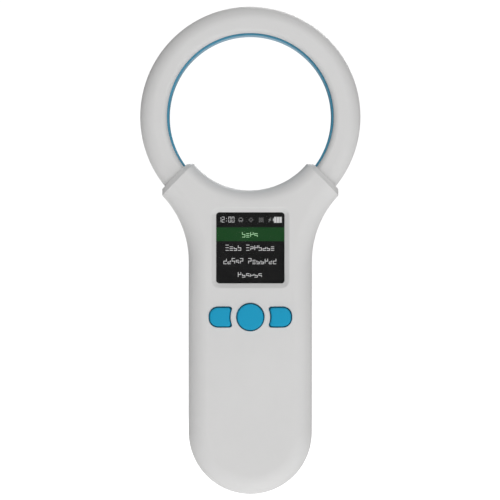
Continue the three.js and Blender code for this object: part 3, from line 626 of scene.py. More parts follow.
def circuit_board(name, mask, trace):
    """Solder mask over copper, with straight tracks and round vias."""
    mat, tree, shader = new_material(name)
    place = tree.nodes.new("ShaderNodeTexCoord").outputs["Object"]
    turn = tree.nodes.new("ShaderNodeMapping")
    turn.inputs["Rotation"].default_value = (QUARTER, 0, 0)
    tree.links.new(place, turn.inputs["Vector"])
    tracks = tree.nodes.new("ShaderNodeTexBrick")
    tracks.inputs["Scale"].default_value = 420.0
    tracks.inputs["Mortar Size"].default_value = 0.04
    tracks.inputs["Brick Width"].default_value = 0.8
    tracks.inputs["Row Height"].default_value = 0.3
    tree.links.new(turn.outputs["Vector"], tracks.inputs["Vector"])
    vias = tree.nodes.new("ShaderNodeTexVoronoi")
    vias.inputs["Scale"].default_value = 260.0
    tree.links.new(turn.outputs["Vector"], vias.inputs["Vector"])
    ring = math_node(tree, "LESS_THAN", vias.outputs["Distance"], 0.12)
    both = math_node(tree, "MAXIMUM", tracks.outputs["Fac"], ring)
    tone = blend_colour(tree, both, mask, trace)
    tree.links.new(tone, shader.inputs["Base Color"])
    tree.links.new(remap(tree, both, 0.34, 0.26), shader.inputs["Roughness"])
    bump = tree.nodes.new("ShaderNodeBump")
    bump.inputs["Strength"].default_value = 0.6
    bump.inputs["Distance"].default_value = 0.00003
    tree.links.new(both, bump.inputs["Height"])
    tree.links.new(bump.outputs["Normal"], shader.inputs["Normal"])
    return mat


def wound_wire(name, base):
    """Enamelled wire wound round the ring: rounded turns side by side, each 0.24 mm wide."""
    turns_per_metre = 26000.0 / (2 * math.pi)
    mat, tree, shader = new_material(name)
    place = tree.nodes.new("ShaderNodeTexCoord").outputs["Object"]
    parts = tree.nodes.new("ShaderNodeSeparateXYZ")
    tree.links.new(place, parts.inputs["Vector"])
    across = math_node(tree, "MULTIPLY", parts.outputs["Y"], 2 * math.pi * turns_per_metre)
    turns = math_node(tree, "SINE", across, 0.0)
    tone = blend_colour(tree, remap(tree, turns, 0.3, 1.0), shifted(base, 0.35), base)
    tree.links.new(tone, shader.inputs["Base Color"])
    shader.inputs["Metallic"].default_value = 0.85
    marks = place_group(mat, handling(), Scale=120.0, Contrast=1.5)
    tree.links.new(remap(tree, marks.outputs["Mask"], 0.28, 0.42), shader.inputs["Roughness"])
    bump = tree.nodes.new("ShaderNodeBump")
    bump.inputs["Strength"].default_value = 0.8
    bump.inputs["Distance"].default_value = 0.00006
    tree.links.new(turns, bump.inputs["Height"])
    tree.links.new(bump.outputs["Normal"], shader.inputs["Normal"])
    return mat


def clear_window(name):
    """Hard clear plastic with a faint smear in its gloss."""
    mat, tree, shader = new_material(name)
    shader.inputs["Base Color"].default_value = (1.0, 1.0, 1.0, 1.0)
    shader.inputs["Transmission Weight"].default_value = 1.0
    shader.inputs["IOR"].default_value = 1.33
    shader.inputs["Specular IOR Level"].default_value = 0.12
    marks = place_group(mat, handling(), Scale=160.0, Contrast=1.4)
    tree.links.new(remap(tree, marks.outputs["Mask"], 0.0, 0.035), shader.inputs["Roughness"])
    return mat


def lit(name, base, strength):
    """A lit part of the picture, with a faint cell pattern in its light."""
    mat, tree, shader = new_material(name)
    shader.inputs["Base Color"].default_value = (0.004, 0.004, 0.004, 1.0)
    cells = noise(tree, 5200.0, 1.0, 0.4)
    tone = blend_colour(tree, cells, shifted(base, 0.9), shifted(base, 1.05))
    tree.links.new(tone, shader.inputs["Emission Color"])
    shader.inputs["Emission Strength"].default_value = strength
    shader.inputs["Specular IOR Level"].default_value = 0.1
    tree.links.new(remap(tree, cells, 0.2, 0.3), shader.inputs["Roughness"])
    return mat


def printed_film(name, base):
    """Silvery polyester film with a fine brushed look under a matt varnish."""
    mat, tree, shader = new_material(name)
    turn = tree.nodes.new("ShaderNodeMapping")
    turn.inputs["Scale"].default_value = (1.0, 1.0, 24.0)
    place = tree.nodes.new("ShaderNodeTexCoord").outputs["Object"]
    tree.links.new(place, turn.inputs["Vector"])
    lines = noise(tree, 900.0, 4.0, 0.6, turn.outputs["Vector"])
    tone = blend_colour(tree, lines, shifted(base, 0.9), shifted(base, 1.04))
    tree.links.new(tone, shader.inputs["Base Color"])
    shader.inputs["Metallic"].default_value = 0.35
    tree.links.new(remap(tree, lines, 0.3, 0.46), shader.inputs["Roughness"])
    return mat


def finish(slot):
    """The finish of a material slot, made the first time it is asked for."""
    name = "scanner " + slot
    made = bpy.data.materials.get(name)
    if made:
        return made
    colours = bpy.context.scene.scanner_colours

    def grey(value):
        return scene_colour((value, value, value))

    makers = {
        "housing": lambda: moulded(name, scene_colour(colours.housing), 0.5),
        "blue_plastic": lambda: moulded(name, scene_colour(colours.liner), 0.4, dust_and_shade=0.3),
        "blue_rubber": lambda: moulded(
            name,
            scene_colour(colours.keys),
            0.62,
            grain=3400.0,
            grain_depth=0.00001,
            worn=1.12,
            dust_and_shade=0.6,
            wear=0.6,
            shine=0.25,
        ),
        "clear_plastic": lambda: clear_window(name),
        "black_foam": lambda: moulded(
            name, grey(0.11), 0.95, grain=1400.0, grain_depth=0.00012, wear=0, dust_and_shade=0
        ),
        "display": lambda: lit(name, scene_colour(colours.screen), 1.0),
        "white_plastic": lambda: moulded(name, grey(0.9), 0.45, wear=0.5, dust_and_shade=0.3),
        "black_plastic": lambda: moulded(name, grey(0.1), 0.42, wear=0.5, dust_and_shade=0.3),
        "carbon_rubber": lambda: moulded(name, grey(0.08), 0.85, wear=0, dust_and_shade=0),
        "gold": lambda: metal(name, scene_colour((0.86, 0.7, 0.33)), 0.25),
        "board": lambda: circuit_board(
            name, scene_colour((0.04, 0.3, 0.16)), scene_colour((0.1, 0.42, 0.24))
        ),
        "steel": lambda: metal(name, scene_colour((0.76, 0.77, 0.78)), 0.28, stretch=(1, 1, 8)),
        "copper": lambda: wound_wire(name, scene_colour((0.74, 0.4, 0.2))),
        "polyimide": lambda: moulded(name, scene_colour((0.72, 0.44, 0.1)), 0.3, wear=0, dust_and_shade=0),
        "foil": lambda: metal(name, scene_colour((0.78, 0.79, 0.81)), 0.36, grain=700.0),
        "red_sleeve": lambda: moulded(name, scene_colour((0.7, 0.1, 0.1)), 0.42, wear=0, dust_and_shade=0),
        "black_sleeve": lambda: moulded(name, grey(0.08), 0.42, wear=0, dust_and_shade=0),
        "label": lambda: printed_film(name, scene_colour((0.8, 0.81, 0.82))),
    }
    return makers[slot]()


# ---------------------------------------------------------------- shells


# The right arm's own directions: along it to its end, and out across it from the ring's centre.
ALONG = Vector((1, 0, 1)).normalized()
OUT = Vector((1, 0, -1)).normalized()

# How far the arms are drawn before they are cut off, where the saddle's curve goes on straight past
# the ring's centre line, and how far a shell is drawn past its rim.
ARM_SPARE = 14.0
SADDLE_STRAIGHT = 2.2
RIM_SPARE = 3.0

# Play round the ring, the socket, the label and the tongue along the parting line.
RING_FIT = 0.3
SOCKET_FIT = 0.6
LABEL_FIT = 0.15
LAP_FIT = 0.1

# The screws' posts, pilot holes, sunk heads and shafts: radii, and where along Y they end.
FRONT_POST_RADIUS = 2.45
FRONT_POST_END = -5.58
REAR_POST_RADIUS = 3.2
REAR_POST_END = -3.88
PILOT_RADIUS = 1.15
SHAFT_RADIUS = 1.4
SHAFT_END = -5
RECESS_RADIUS = 2.4
RECESS_DEPTH = 3.55

# The sound holes: one in the middle of a circle of six.
GRILLE_DROP = 58.25
GRILLE_RADIUS = 2.6
SOUND_HOLE_RADIUS = 0.65


def cut_flat(bm, place, outward):
    """Cuts a body off at a plane and closes it with a flat face."""
    bmesh.ops.bisect_plane(
        bm,
        geom=bm.verts[:] + bm.edges[:] + bm.faces[:],
        plane_co=place,
        plane_no=outward,
        clear_outer=True,
    )
    open_edges = [edge for edge in bm.edges if edge.is_boundary]
    made = bmesh.ops.contextual_create(bm, geom=open_edges)["faces"]
    bmesh.ops.recalc_face_normals(bm, faces=bm.faces)
    return made


def slab(sizes, ring, inset, y0, y1):
    """A straight slab of the fork and handle between two depths, drawn inset from their sides.

    Its arms run on past their ends, to be cut off there.
    """
    bm = bmesh.new()
    half_width = sizes.half_width - inset
    saddle = sizes.saddle_radius + inset
    round_z = sizes.bottom + sizes.half_width
    flank_x = sizes.half_width + sizes.flank_radius
    reach = (sizes.arm_outer + sizes.flank_radius) / math.cos(math.pi / 4)
    flank_z = ring.centre - (reach - flank_x)
    heart = Vector((0, 0, ring.centre))
    side_end = heart + OUT * (sizes.arm_outer - inset) + ALONG * ARM_SPARE
    turn = math.asin(SADDLE_STRAIGHT / saddle)
    run = (ARM_SPARE - SADDLE_STRAIGHT) / math.cos(turn)
    tip_out = saddle * math.cos(turn) - run * math.sin(turn)
    saddle_tip = heart + OUT * tip_out + ALONG * ARM_SPARE
    saddle_end = heart + OUT * saddle * math.cos(turn) + ALONG * SADDLE_STRAIGHT

    first = bm.verts.new((0, y0, round_z - half_width))
    vert = arc_about(bm, first, 0, round_z, -QUARTER, 30)
    vert = line_to(bm, vert, half_width, flank_z)
    vert = arc_about(bm, vert, flank_x, flank_z, math.pi / 4, 24)
    vert = line_to(bm, vert, side_end.x, side_end.z)
    vert = line_to(bm, vert, saddle_tip.x, saddle_tip.z)
    vert = line_to(bm, vert, saddle_end.x, saddle_end.z)
    arc_about(bm, vert, 0, ring.centre, QUARTER / 2 + turn, 36)
    bmesh.ops.mirror(bm, geom=bm.verts[:] + bm.edges[:], axis="X", merge_dist=1e-3)
    face = close(bm, bm.edges[:])
    made = bmesh.ops.extrude_face_region(bm, geom=[face], use_keep_orig=True)["geom"]
    moved = [item for item in made if isinstance(item, bmesh.types.BMVert)]
    bmesh.ops.translate(bm, verts=moved, vec=(0, y1 - y0, 0))
    bmesh.ops.recalc_face_normals(bm, faces=bm.faces)
    return bm


def trim_arms(bm, ring, cut):
    """Cuts both arms off square, and gives the end faces."""
    heart = Vector((0, 0, ring.centre))
    ends = []
    for side in (-1, 1):
        toward = Vector((side * ALONG.x, 0, ALONG.z))
        ends += cut_flat(bm, heart + toward * cut, toward)
    return ends


def lap(sizes, ring, inset, y0, y1):
    """A slab as deep as the lap along the parting line, inset into the shells' walls."""
    bm = slab(sizes, ring, inset, y0, y1)
    trim_arms(bm, ring, sizes.collar_end - inset)
    return to_object(bm, "tool")


def plate(sizes, ring, inset, rim, depth, cut, chamfer):
    """The front or rear half of the fork and handle, drawn inset from its outside.

    It reaches in depth from the rim to the given depth, and each arm ends at the cut.
    """
    to_rim = math.copysign(1, rim - depth)
    spare = to_rim * RIM_SPARE if chamfer else 0.0
    bm = slab(sizes, ring, inset, rim + spare, depth)
    heart = Vector((0, 0, ring.centre))
    saddle = sizes.saddle_radius + inset

    def from_heart(vert):
        return Vector((abs(vert.co.x), 0, vert.co.z)) - heart

    def lies_at(edge, y):
        return all(abs(vert.co.y - y) < 1e-3 for vert in edge.verts)

    def on_saddle(edge):
        return all(from_heart(vert).dot(OUT) < saddle + 0.05 for vert in edge.verts)

    def on_end(edge):
        return all(from_heart(vert).dot(ALONG) > ARM_SPARE - 0.1 for vert in edge.verts)

    def outer_rim():
        return [edge for edge in bm.edges if lies_at(edge, depth) and not on_end(edge)]

    sides = [edge for edge in outer_rim() if not on_saddle(edge)]
    round_edges(bm, sides, sizes.side_roll - inset, 12)
    inner = [edge for edge in outer_rim() if on_saddle(edge)]
    round_edges(bm, inner, sizes.saddle_roll - inset, 12)
    ends = trim_arms(bm, ring, cut - chamfer)
    if chamfer:
        for end in ends:
            bmesh.ops.inset_region(
                bm, faces=[end], thickness=chamfer, depth=chamfer, use_even_offset=True
            )
        cut_flat(bm, Vector((0, rim, 0)), Vector((0, to_rim, 0)))
        round_edges(bm, [edge for edge in bm.edges if lies_at(edge, rim)], sizes.lip, 3)
    return bm


def ring_section(bm, ring, margin):
    """One solid section of the antenna tube and its liner, grown by a margin."""
    half_width = ring.liner_half_width + margin
    inner = ring.liner_radius - margin
    outer = ring.radius + margin
    inside = ring.radius - ring.tube_width - margin
    depth = ring.half_depth + margin
    points = [
        (outer, -depth),
        (outer, depth),
        (inside, depth),
        (inside, half_width),
        (inner, half_width),
        (inner, -half_width),
        (inside, -half_width),
        (inside, -depth),
    ]
    verts = [bm.verts.new((r, y, ring.centre)) for r, y in points]
    bm.faces.new(verts)
    ease(bm, verts[:2], ring.outer_roll + margin, 10)
    corners = [
        vert
        for vert in bm.verts
        if abs(vert.co.x - inside) < 1e-4 and abs(abs(vert.co.y) - depth) < 1e-4
    ]
    ease(bm, corners, ring.inner_roll + margin, 6)


def spin_section(bm, ring, angle, steps):
    """Turns a section about the ring's axis, all the way round or with capped ends."""
    edges = bm.edges[:]
    bmesh.ops.delete(bm, geom=bm.faces[:], context="FACES_ONLY")
    whole = abs(angle) > 2 * math.pi - 1e-6
    bmesh.ops.spin(
        bm,
        geom=bm.verts[:] + edges,
        cent=(0, 0, ring.centre),
        axis=(0, 1, 0),
        dvec=(0, 0, 0),
        angle=angle,
        steps=steps,
        use_merge=whole,
        use_duplicate=False,
    )
    if whole:
        bmesh.ops.remove_doubles(bm, verts=bm.verts, dist=1e-4)
    else:
        bmesh.ops.holes_fill(bm, edges=[edge for edge in bm.edges if edge.is_boundary], sides=0)


def ring_bore(ring):
    """The room that the antenna tube and its liner take, with their fit."""
    bm = bmesh.new()
    ring_section(bm, ring, RING_FIT)
    spin_section(bm, ring, 2 * math.pi, 160)
    return to_object(bm, "tool")


def screw_places(sizes):
    """Each case screw's name and place."""
    return [
        ("top_left", -sizes.screw_top_x, sizes.screw_top_z),
        ("top_right", sizes.screw_top_x, sizes.screw_top_z),
        ("bottom_left", -sizes.screw_low_x, sizes.screw_low_z),
        ("bottom_right", sizes.screw_low_x, sizes.screw_low_z),
    ]


def bar(x, z, radius, levels, steps=40):
    """A round bar or hole along Y."""
    return tool(lambda bm, grow, y: disc(bm, radius + grow, x, y, z, steps), levels)


def socket_outline(fit, bm, grow, y):
    """The charging socket's outline with a fit round it, as if the socket lay along Y."""
    low, high = SOCKET_LOW * 1000, SOCKET_HIGH * 1000
    width, height = high.x - low.x + fit, high.y - low.y + fit
    middle = (low.y + high.y) / 2
    corner = height / 2 - 0.02
    return rounded_rectangle(
        bm, width + 2 * grow, height + 2 * grow, corner + grow, 0, y, middle, 10
    )


def stand_up(bm):
    """Turns a body that lies along Y to stand along Z."""
    turn = Matrix.Rotation(-QUARTER, 3, "X")
    bmesh.ops.rotate(bm, verts=bm.verts, cent=(0, 0, 0), matrix=turn)


def socket_hole(sizes):
    """The hole for the charging socket, half in each shell."""
    foot = -sizes.bottom
    bm = bmesh.new()
    loft(
        bm,
        partial(socket_outline, SOCKET_FIT),
        [(foot + 1, 0.5), (foot - 0.15, 0.0), (foot - 4.5, 0.0)],
    )
    stand_up(bm)
    return to_object(bm, "tool")


def label_outline(bm, grow, y):
    """The rating label's outline."""
    low, high = LABEL_LOW * 1000, LABEL_HIGH * 1000
    width, height = high.x - low.x, high.z - low.z
    middle = (high.z + low.z) / 2
    return rounded_rectangle(
        bm, width + 2 * grow, height + 2 * grow, 1.8 + grow, 0, y, middle
    )


def picture_outline(display, bm, grow, y):
    """The outline of the display's picture."""
    return rounded_rectangle(
        bm,
        display.width + 2 * grow,
        display.height + 2 * grow,
        max(display.corner + grow, 0.15),
        0,
        y,
        display.centre,
    )


def key_outline(keys, side, bm, grow, y):
    """One key's outline: side is -1, 0 or 1 for the left, centre and right key."""
    if not side:
        return disc(bm, keys.radius + grow, 0, y, keys.centre, 64)
    before_edges = set(bm.edges)
    half = keys.half_height + grow
    hollow = keys.hollow - grow
    outer = keys.outer + grow
    near_round = max(keys.near_round + grow * 0.5, 0.3)
    far_round = min(keys.end_round + grow * 0.8, 0.9 * half)
    corner_x = math.sqrt(hollow * hollow - half * half)
    # The hollow arc stops short of the near corners, which leaves them room for their rounding.
    open_angle = math.asin((half - near_round - 0.15) / hollow)
    start_x, start_z = hollow * math.cos(open_angle), hollow * math.sin(open_angle)
    first = bm.verts.new((side * start_x, y, keys.centre - start_z))
    vert = arc_about(bm, first, 0, keys.centre, -side * 2 * open_angle, 10)
    vert = line_to(bm, vert, side * corner_x, keys.centre + half)
    near = [vert]
    vert = line_to(bm, vert, side * outer, keys.centre + half)
    far = [vert]
    vert = line_to(bm, vert, side * outer, keys.centre - half)
    far.append(vert)
    vert = line_to(bm, vert, side * corner_x, keys.centre - half)
    near.append(vert)
    wires = [edge for edge in bm.edges if edge not in before_edges]
    last = bm.edges.new((vert, first))
    face = bmesh.ops.contextual_create(bm, geom=wires + [last])["faces"][0]
    before = set(bm.faces) - {face}
    ease(bm, far, far_round, 8)
    ease(bm, near, near_round, 5)
    return added(bm, before)[0]


def front_shell(sizes, ring, display, keys):
    """The front shell, with its screw posts, display opening and key holes."""
    front = -sizes.half_depth
    inside = front + sizes.wall
    shell = to_object(
        plate(sizes, ring, 0, sizes.front_rim, front, sizes.collar_end, sizes.collar_chamfer),
        "front_shell_piece",
    )
    cut = sizes.collar_end - sizes.collar_lip
    room = to_object(plate(sizes, ring, sizes.wall, sizes.front_rim + 1, inside, cut, 0), "tool")
    inset, floor = sizes.lap_inset - LAP_FIT, sizes.front_rim - 1.1
    groove = lap(sizes, ring, inset, floor, sizes.front_rim + 1)
    carve(shell, [room, groove])
    places = [(x, z) for _, x, z in screw_places(sizes)]
    post = [(inside - 0.6, 0), (FRONT_POST_END, 0)]
    carve(shell, [bar(x, z, FRONT_POST_RADIUS, post) for x, z in places], "UNION")
    slope = tool(
        partial(picture_outline, display),
        [
            (front - 0.6, display.bezel_reach + 0.36),
            (front, display.bezel_reach + 0.3),
            (front + 0.04, display.bezel_reach + 0.1),
            (front + 0.18, display.bezel_reach - 0.2),
            (front + display.bezel_depth, 0.0),
            (inside + 0.8, 0.0),
        ],
    )
    holes = [
        tool(
            lambda bm, grow, y, side=side: key_outline(keys, side, bm, keys.gap + grow, y),
            mouth(front, 1, 0.28, sizes.wall + 0.8),
        )
        for side in (-1, 0, 1)
    ]
    pilots = [bar(x, z, PILOT_RADIUS, [(inside, 0), (SHAFT_END, 0)]) for x, z in places]
    carve(shell, [ring_bore(ring), slope, *holes, *pilots, socket_hole(sizes)])
    return settle(shell, finish("housing"), replaces=["front_shell"])


def rear_shell(sizes, ring):
    """The rear shell, with its tongue, screw posts, label pocket and sound holes."""
    back = sizes.half_depth
    inside = back - sizes.wall
    rim = sizes.front_rim + sizes.gap
    shell = to_object(
        plate(sizes, ring, 0, rim, back, sizes.collar_end, sizes.collar_chamfer),
        "rear_shell_piece",
    )
    cut = sizes.collar_end - sizes.collar_lip
    room = to_object(plate(sizes, ring, sizes.wall, rim - 1, inside, cut, 0), "tool")
    carve(shell, [room])
    tongue = lap(sizes, ring, sizes.lap_inset, sizes.front_rim - 0.9, rim + 0.6)
    carve(tongue, [lap(sizes, ring, sizes.wall, sizes.front_rim - 2, rim + 2)])
    carve(shell, [tongue], "UNION")
    places = [(x, z) for _, x, z in screw_places(sizes)]
    post = [(inside + 0.6, 0), (REAR_POST_END, 0)]
    carve(shell, [bar(x, z, REAR_POST_RADIUS, post) for x, z in places], "UNION")
    recess = mouth(back, -1, 0.3, RECESS_DEPTH)
    recesses = [bar(x, z, RECESS_RADIUS, recess) for x, z in places]
    shafts = [bar(x, z, SHAFT_RADIUS, [(back - 3, 0), (SHAFT_END, 0)]) for x, z in places]
    pocket = tool(
        lambda bm, grow, y: label_outline(bm, LABEL_FIT + grow, y), mouth(back, -1, 0.12, 0.3)
    )
    sound = [(0.0, 0.0)]
    for i in range(6):
        turn = i * math.pi / 3
        sound.append((GRILLE_RADIUS * math.cos(turn), GRILLE_RADIUS * math.sin(turn)))
    grille_z = ring.centre - GRILLE_DROP
    hole = mouth(back, -1, 0.15, sizes.wall + 0.5)
    grille = [bar(x, grille_z + z, SOUND_HOLE_RADIUS, hole, 24) for x, z in sound]
    carve(shell, [ring_bore(ring), pocket, *recesses, *shafts, *grille, socket_hole(sizes)])
    return settle(shell, finish("housing"), replaces=["rear_shell"])


# ---------------------------------------------------------------- ring


def neck_spin(bm, ring):
    """Turns a section from the right neck over the top to the left neck, and on into both arms."""
    past = math.radians(9)
    bmesh.ops.rotate(
        bm,
        verts=bm.verts,
        cent=(0, 0, ring.centre),
        matrix=Matrix.Rotation(math.pi / 4 + past, 3, "Y"),
    )
    spin_section(bm, ring, -(1.5 * math.pi + 2 * past), 150)


def ring_half(ring, way):
    """One half of the antenna tube as a moulded channel: way is -1 at the front, 1 at the back."""
    bm = bmesh.new()
    meet = 0.1
    inside = ring.radius - ring.tube_width
    wall = ring.wall
    seat = ring.liner_half_width + 0.15
    depth = ring.half_depth
    points = [
        (ring.radius, meet),
        (ring.radius, depth),
        (inside, depth),
        (inside, seat),
        (ring.liner_seat, seat),
        (ring.liner_seat, meet),
        (ring.liner_seat + wall, meet),
        (ring.liner_seat + wall, depth - wall),
        (ring.radius - wall, depth - wall),
        (ring.radius - wall, meet),
    ]
    # The radius and steps of each rounded corner.
    rounds = {
        1: (ring.outer_roll, 12),
        2: (ring.inner_roll, 8),
        8: (ring.outer_roll - wall, 6),
        0: (0.2, 2),
        3: (0.15, 2),
    }
    verts = [bm.verts.new((r, way * y, ring.centre)) for r, y in points]
    bm.faces.new(verts)
    for i, (radius, steps) in rounds.items():
        ease(bm, [verts[i]], radius, steps)
    neck_spin(bm, ring)
    name = "front" if way < 0 else "rear"
    obj = to_object(bm, f"ring_{name}_piece")
    return settle(obj, finish("housing"), replaces=[f"ring_{name}_shell"])


def liner(ring):
    """The blue band that lines the ring, rounded at both rims."""
    bm = bmesh.new()
    outer = LINER_HIGH.x * 1000
    half = ring.liner_half_width
    points = [(ring.liner_radius, -half), (outer, -half), (outer, half), (ring.liner_radius, half)]
    verts = [bm.verts.new((r, y, ring.centre)) for r, y in points]
    bm.faces.new(verts)
    ease(bm, [verts[0], verts[3]], 0.4, 5)
    neck_spin(bm, ring)
    obj = to_object(bm, "ring_liner_piece")
    return settle(obj, finish("blue_plastic"), replaces=["ring_liner"])


# ---------------------------------------------------------------- display


def add_block(bm, x0, x1, y0, y1, z0, z1):
    """A block added to a mesh, between two corners."""
    size = Matrix.Diagonal((x1 - x0, y1 - y0, z1 - z0, 1))
    place = Matrix.Translation(((x0 + x1) / 2, (y0 + y1) / 2, (z0 + z1) / 2))
    bmesh.ops.create_cube(bm, size=1, matrix=place @ size)


# Left, right, top and bottom of each stroke of a mark, as shares of its cell.
STROKES = {
    "a": (0, 1, 0, 0),
    "b": (1, 1, 0, 0.5),
    "c": (1, 1, 0.5, 1),
    "d": (0, 1, 1, 1),
    "e": (0, 0, 0.5, 1),
    "f": (0, 0, 0, 0.5),
    "g": (0, 1, 0.5, 0.5),
}
DIGITS = {"0": "abcdef", "1": "bc", "2": "abged", ":": ""}
ICONS = (
    ("01110", "10001", "10001", "11111", "01010"),
    ("00100", "01010", "10001", "01010", "00100"),
    ("10101", "01010", "10101", "01010", "10101"),
    ("001", "010", "111", "010", "100"),
)
STAND_INS = ("afgc", "abge", "febg", "agd", "fgcd", "bged")


def draw_mark(bm, strokes, x, top, width, height, pen, front, back):
    """Draws one mark of the picture from its strokes, each as a block."""
    for name in strokes:
        left, right, upper, lower = STROKES[name]
        step = pen if left == right else 0
        x0 = x + left * (width - pen)
        x1 = x + right * (width - pen) + pen
        z1 = top - upper * (height - pen) - step
        z0 = top - lower * (height - pen) - pen + step
        add_block(bm, x0, x1, front, back, z0, z1)


def dots(bm, rows, x, top, dot, front, back):
    """Draws an icon from rows of dots, each run of dots as one block."""
    for i, row in enumerate(rows):
        start = None
        for j, mark in enumerate(row + "0"):
            if mark == "1" and start is None:
                start = j
            if mark == "0" and start is not None:
                z = top - i * dot
                trim = dot * 0.12
                x0, x1 = x + start * dot + trim, x + j * dot - trim
                add_block(bm, x0, x1, front, back, z - dot, z - 2 * trim)
                start = None


def stand_in_words(bm, rng, words, foot, pen, front, back):
    """A centred row of words of stand-in marks with the weight of writing. None is a letter."""
    pitch = 7 * pen
    letters = sum(words) + len(words) - 1
    x = -letters * pitch / 2
    for count in words:
        for i in range(count):
            tall = i == 0 or rng.random() < 0.25
            height = (10 if tall else 7) * pen
            shape = rng.choice(STAND_INS)
            draw_mark(bm, shape, x, foot + height, 5.4 * pen, height, pen, front, back)
            x += pitch
        x += pitch


def picture(display, panel_front):
    """The lit picture: status row, chosen row and three more rows of stand-in writing."""
    colours = bpy.context.scene.scanner_colours
    middle = display.centre
    left = -display.width / 2
    top = middle + display.height / 2
    front, back = panel_front - 0.05, panel_front - 0.01
    rng = random.Random(11)
    dot = display.dot

    # The rows' places below the picture's top, and the icons' to the right of its left side.
    chosen_top, chosen_foot, chosen_line = 5.6, 10.75, 9.35
    clock_top, icon_top = 1.65, 1.9
    icon_places = (8.3, 12.1, 15.9, 19.5)
    rows = (((4, 7), 14.3), ((5, 7), 19.3), ((6,), 24.3))

    bm = bmesh.new()
    past = 0.3
    add_block(
        bm, left - past, past - left, front + 0.02, back, top - chosen_foot, top - chosen_top
    )
    bar_piece = to_object(bm, "chosen_row")

    bright = bmesh.new()
    digit_width, digit_height, pen = 4.4 * dot, 9.6 * dot, 0.8 * dot
    x = left + 0.9
    for mark in "12:00":
        clock = (x, top - clock_top, digit_width, digit_height, pen)
        draw_mark(bright, DIGITS[mark], *clock, front, back)
        if mark == ":":
            for drop in (2.2, 3.1):
                add_block(bright, x + 0.35, x + 0.6, front, back, top - drop - 0.25, top - drop)
        x += 5.6 * dot
    faint = bmesh.new()
    for icon, place in zip(ICONS, icon_places):
        dots(faint, icon, left + place, top - icon_top, 1.6 * dot, front, back)
    # The battery is three blocks with a nub on their left.
    for i in range(3):
        x = -left - 3.9 + i
        add_block(bright, x, x + 0.88, front, back, top - 3.9, top - 1.7)
    add_block(bright, -left - 4.3, -left - 4.0, front, back, top - 3.3, top - 2.3)
    faint_marks = to_object(faint, "picture_marks")
    for words, line in rows:
        stand_in_words(bright, rng, words, top - line, dot, front, back)
    writing = to_object(bright, "picture_writing")

    chosen = bmesh.new()
    stand_in_words(chosen, rng, (4,), top - chosen_line, dot, front - 0.02, back)
    chosen_writing = to_object(chosen, "picture_chosen_writing")

    for obj, name, value in (
        (bar_piece, "lit row", colours.bar),
        (writing, "lit writing", colours.writing),
        (faint_marks, "lit marks", colours.marks),
        (chosen_writing, "lit chosen writing", colours.writing_chosen),
    ):
        settle(obj, lit("scanner " + name, scene_colour(value), 1.0))


def display_panel():
    """The display's front glass, with a stepped edge round the picture."""
    low, high = PANEL_LOW * 1000, PANEL_HIGH * 1000
    width, height = high.x - low.x, high.z - low.z
    middle = (high.z + low.z) / 2

    bm = bmesh.new()
    loft(
        bm,
        lambda bm, grow, y: rounded_rectangle(
            bm, width + 2 * grow, height + 2 * grow, 0.45 + grow / 2, 0, y, middle
        ),
        crown(low.y, high.y, 0.15, 3),
    )
    obj = to_object(bm, "display_panel_piece")
    return settle(obj, finish("display"), replaces=["display_panel"])


def window(display):
    """The clear window behind the opening."""
    low, high = WINDOW_LOW * 1000, WINDOW_HIGH * 1000
    border = (high.x - low.x - display.width) / 2

    bm = bmesh.new()
    loft(
        bm,
        lambda bm, grow, y: picture_outline(display, bm, border + grow, y),
        crown(low.y, high.y, 0.2, 3),
    )
    obj = to_object(bm, "screen_window_piece")
    return settle(obj, finish("clear_plastic"), replaces=["screen_window"])


# ---------------------------------------------------------------- keys


def key_top(keys, side, name):
    """A key from its foot, past its flange, to its softly crowned front."""
    flange_front = -9.7
    flange_back = -7.5
    edge = 0.55
    bulge = 0.06
    levels = [
        (keys.back, -0.6),
        (flange_back, -0.6),
        (flange_back, keys.flange - 0.12),
        (flange_back - 0.12, keys.flange),
        (flange_front + 0.12, keys.flange),
        (flange_front, keys.flange - 0.12),
        (flange_front, 0.0),
        *crown(keys.front + bulge, keys.back, edge, 6)[1:],
        (keys.front + bulge / 3, -edge - 0.7),
        (keys.front, -edge - 1.6),
    ]
    bm = bmesh.new()
    loft(bm, partial(key_outline, keys, side), levels)
    obj = to_object(bm, f"key_{name}_piece")
    return settle(
        obj, finish("blue_rubber"), f"{name}_key", [f"key_{name}"], sharp=40
    )


def key_web(keys, side, name):
    """The thin sloping skirt that carries a key on its mat and gives its snap."""
    low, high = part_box(f"key_web_{name}")
    front, back = low.y * 1000, high.y * 1000
    skin = 0.16
    levels = [
        (back, 1.3),
        (back - skin, 1.35),
        (front + skin, 0.55),
        (front, 0.35),
        (front + 0.01, -0.3),
        (front + skin, -0.29),
        (front + skin + 0.01, 0.3),
        (back - 0.01, 1.05),
    ]
    bm = bmesh.new()
    faces = [key_outline(keys, side, bm, grow, y) for y, grow in levels]
    loops = [list(face.edges) for face in faces]
    bmesh.ops.delete(bm, geom=faces, context="FACES_ONLY")
    for a, b in zip(loops, loops[1:] + loops[:1]):
        bmesh.ops.bridge_loops(bm, edges=a + b)
    obj = to_object(bm, f"key_web_{name}_piece")
    settle(obj, finish("blue_rubber"), body=None, replaces=[f"key_web_{name}"])
    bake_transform(obj)
    return obj


# ---------------------------------------------------------------- fittings


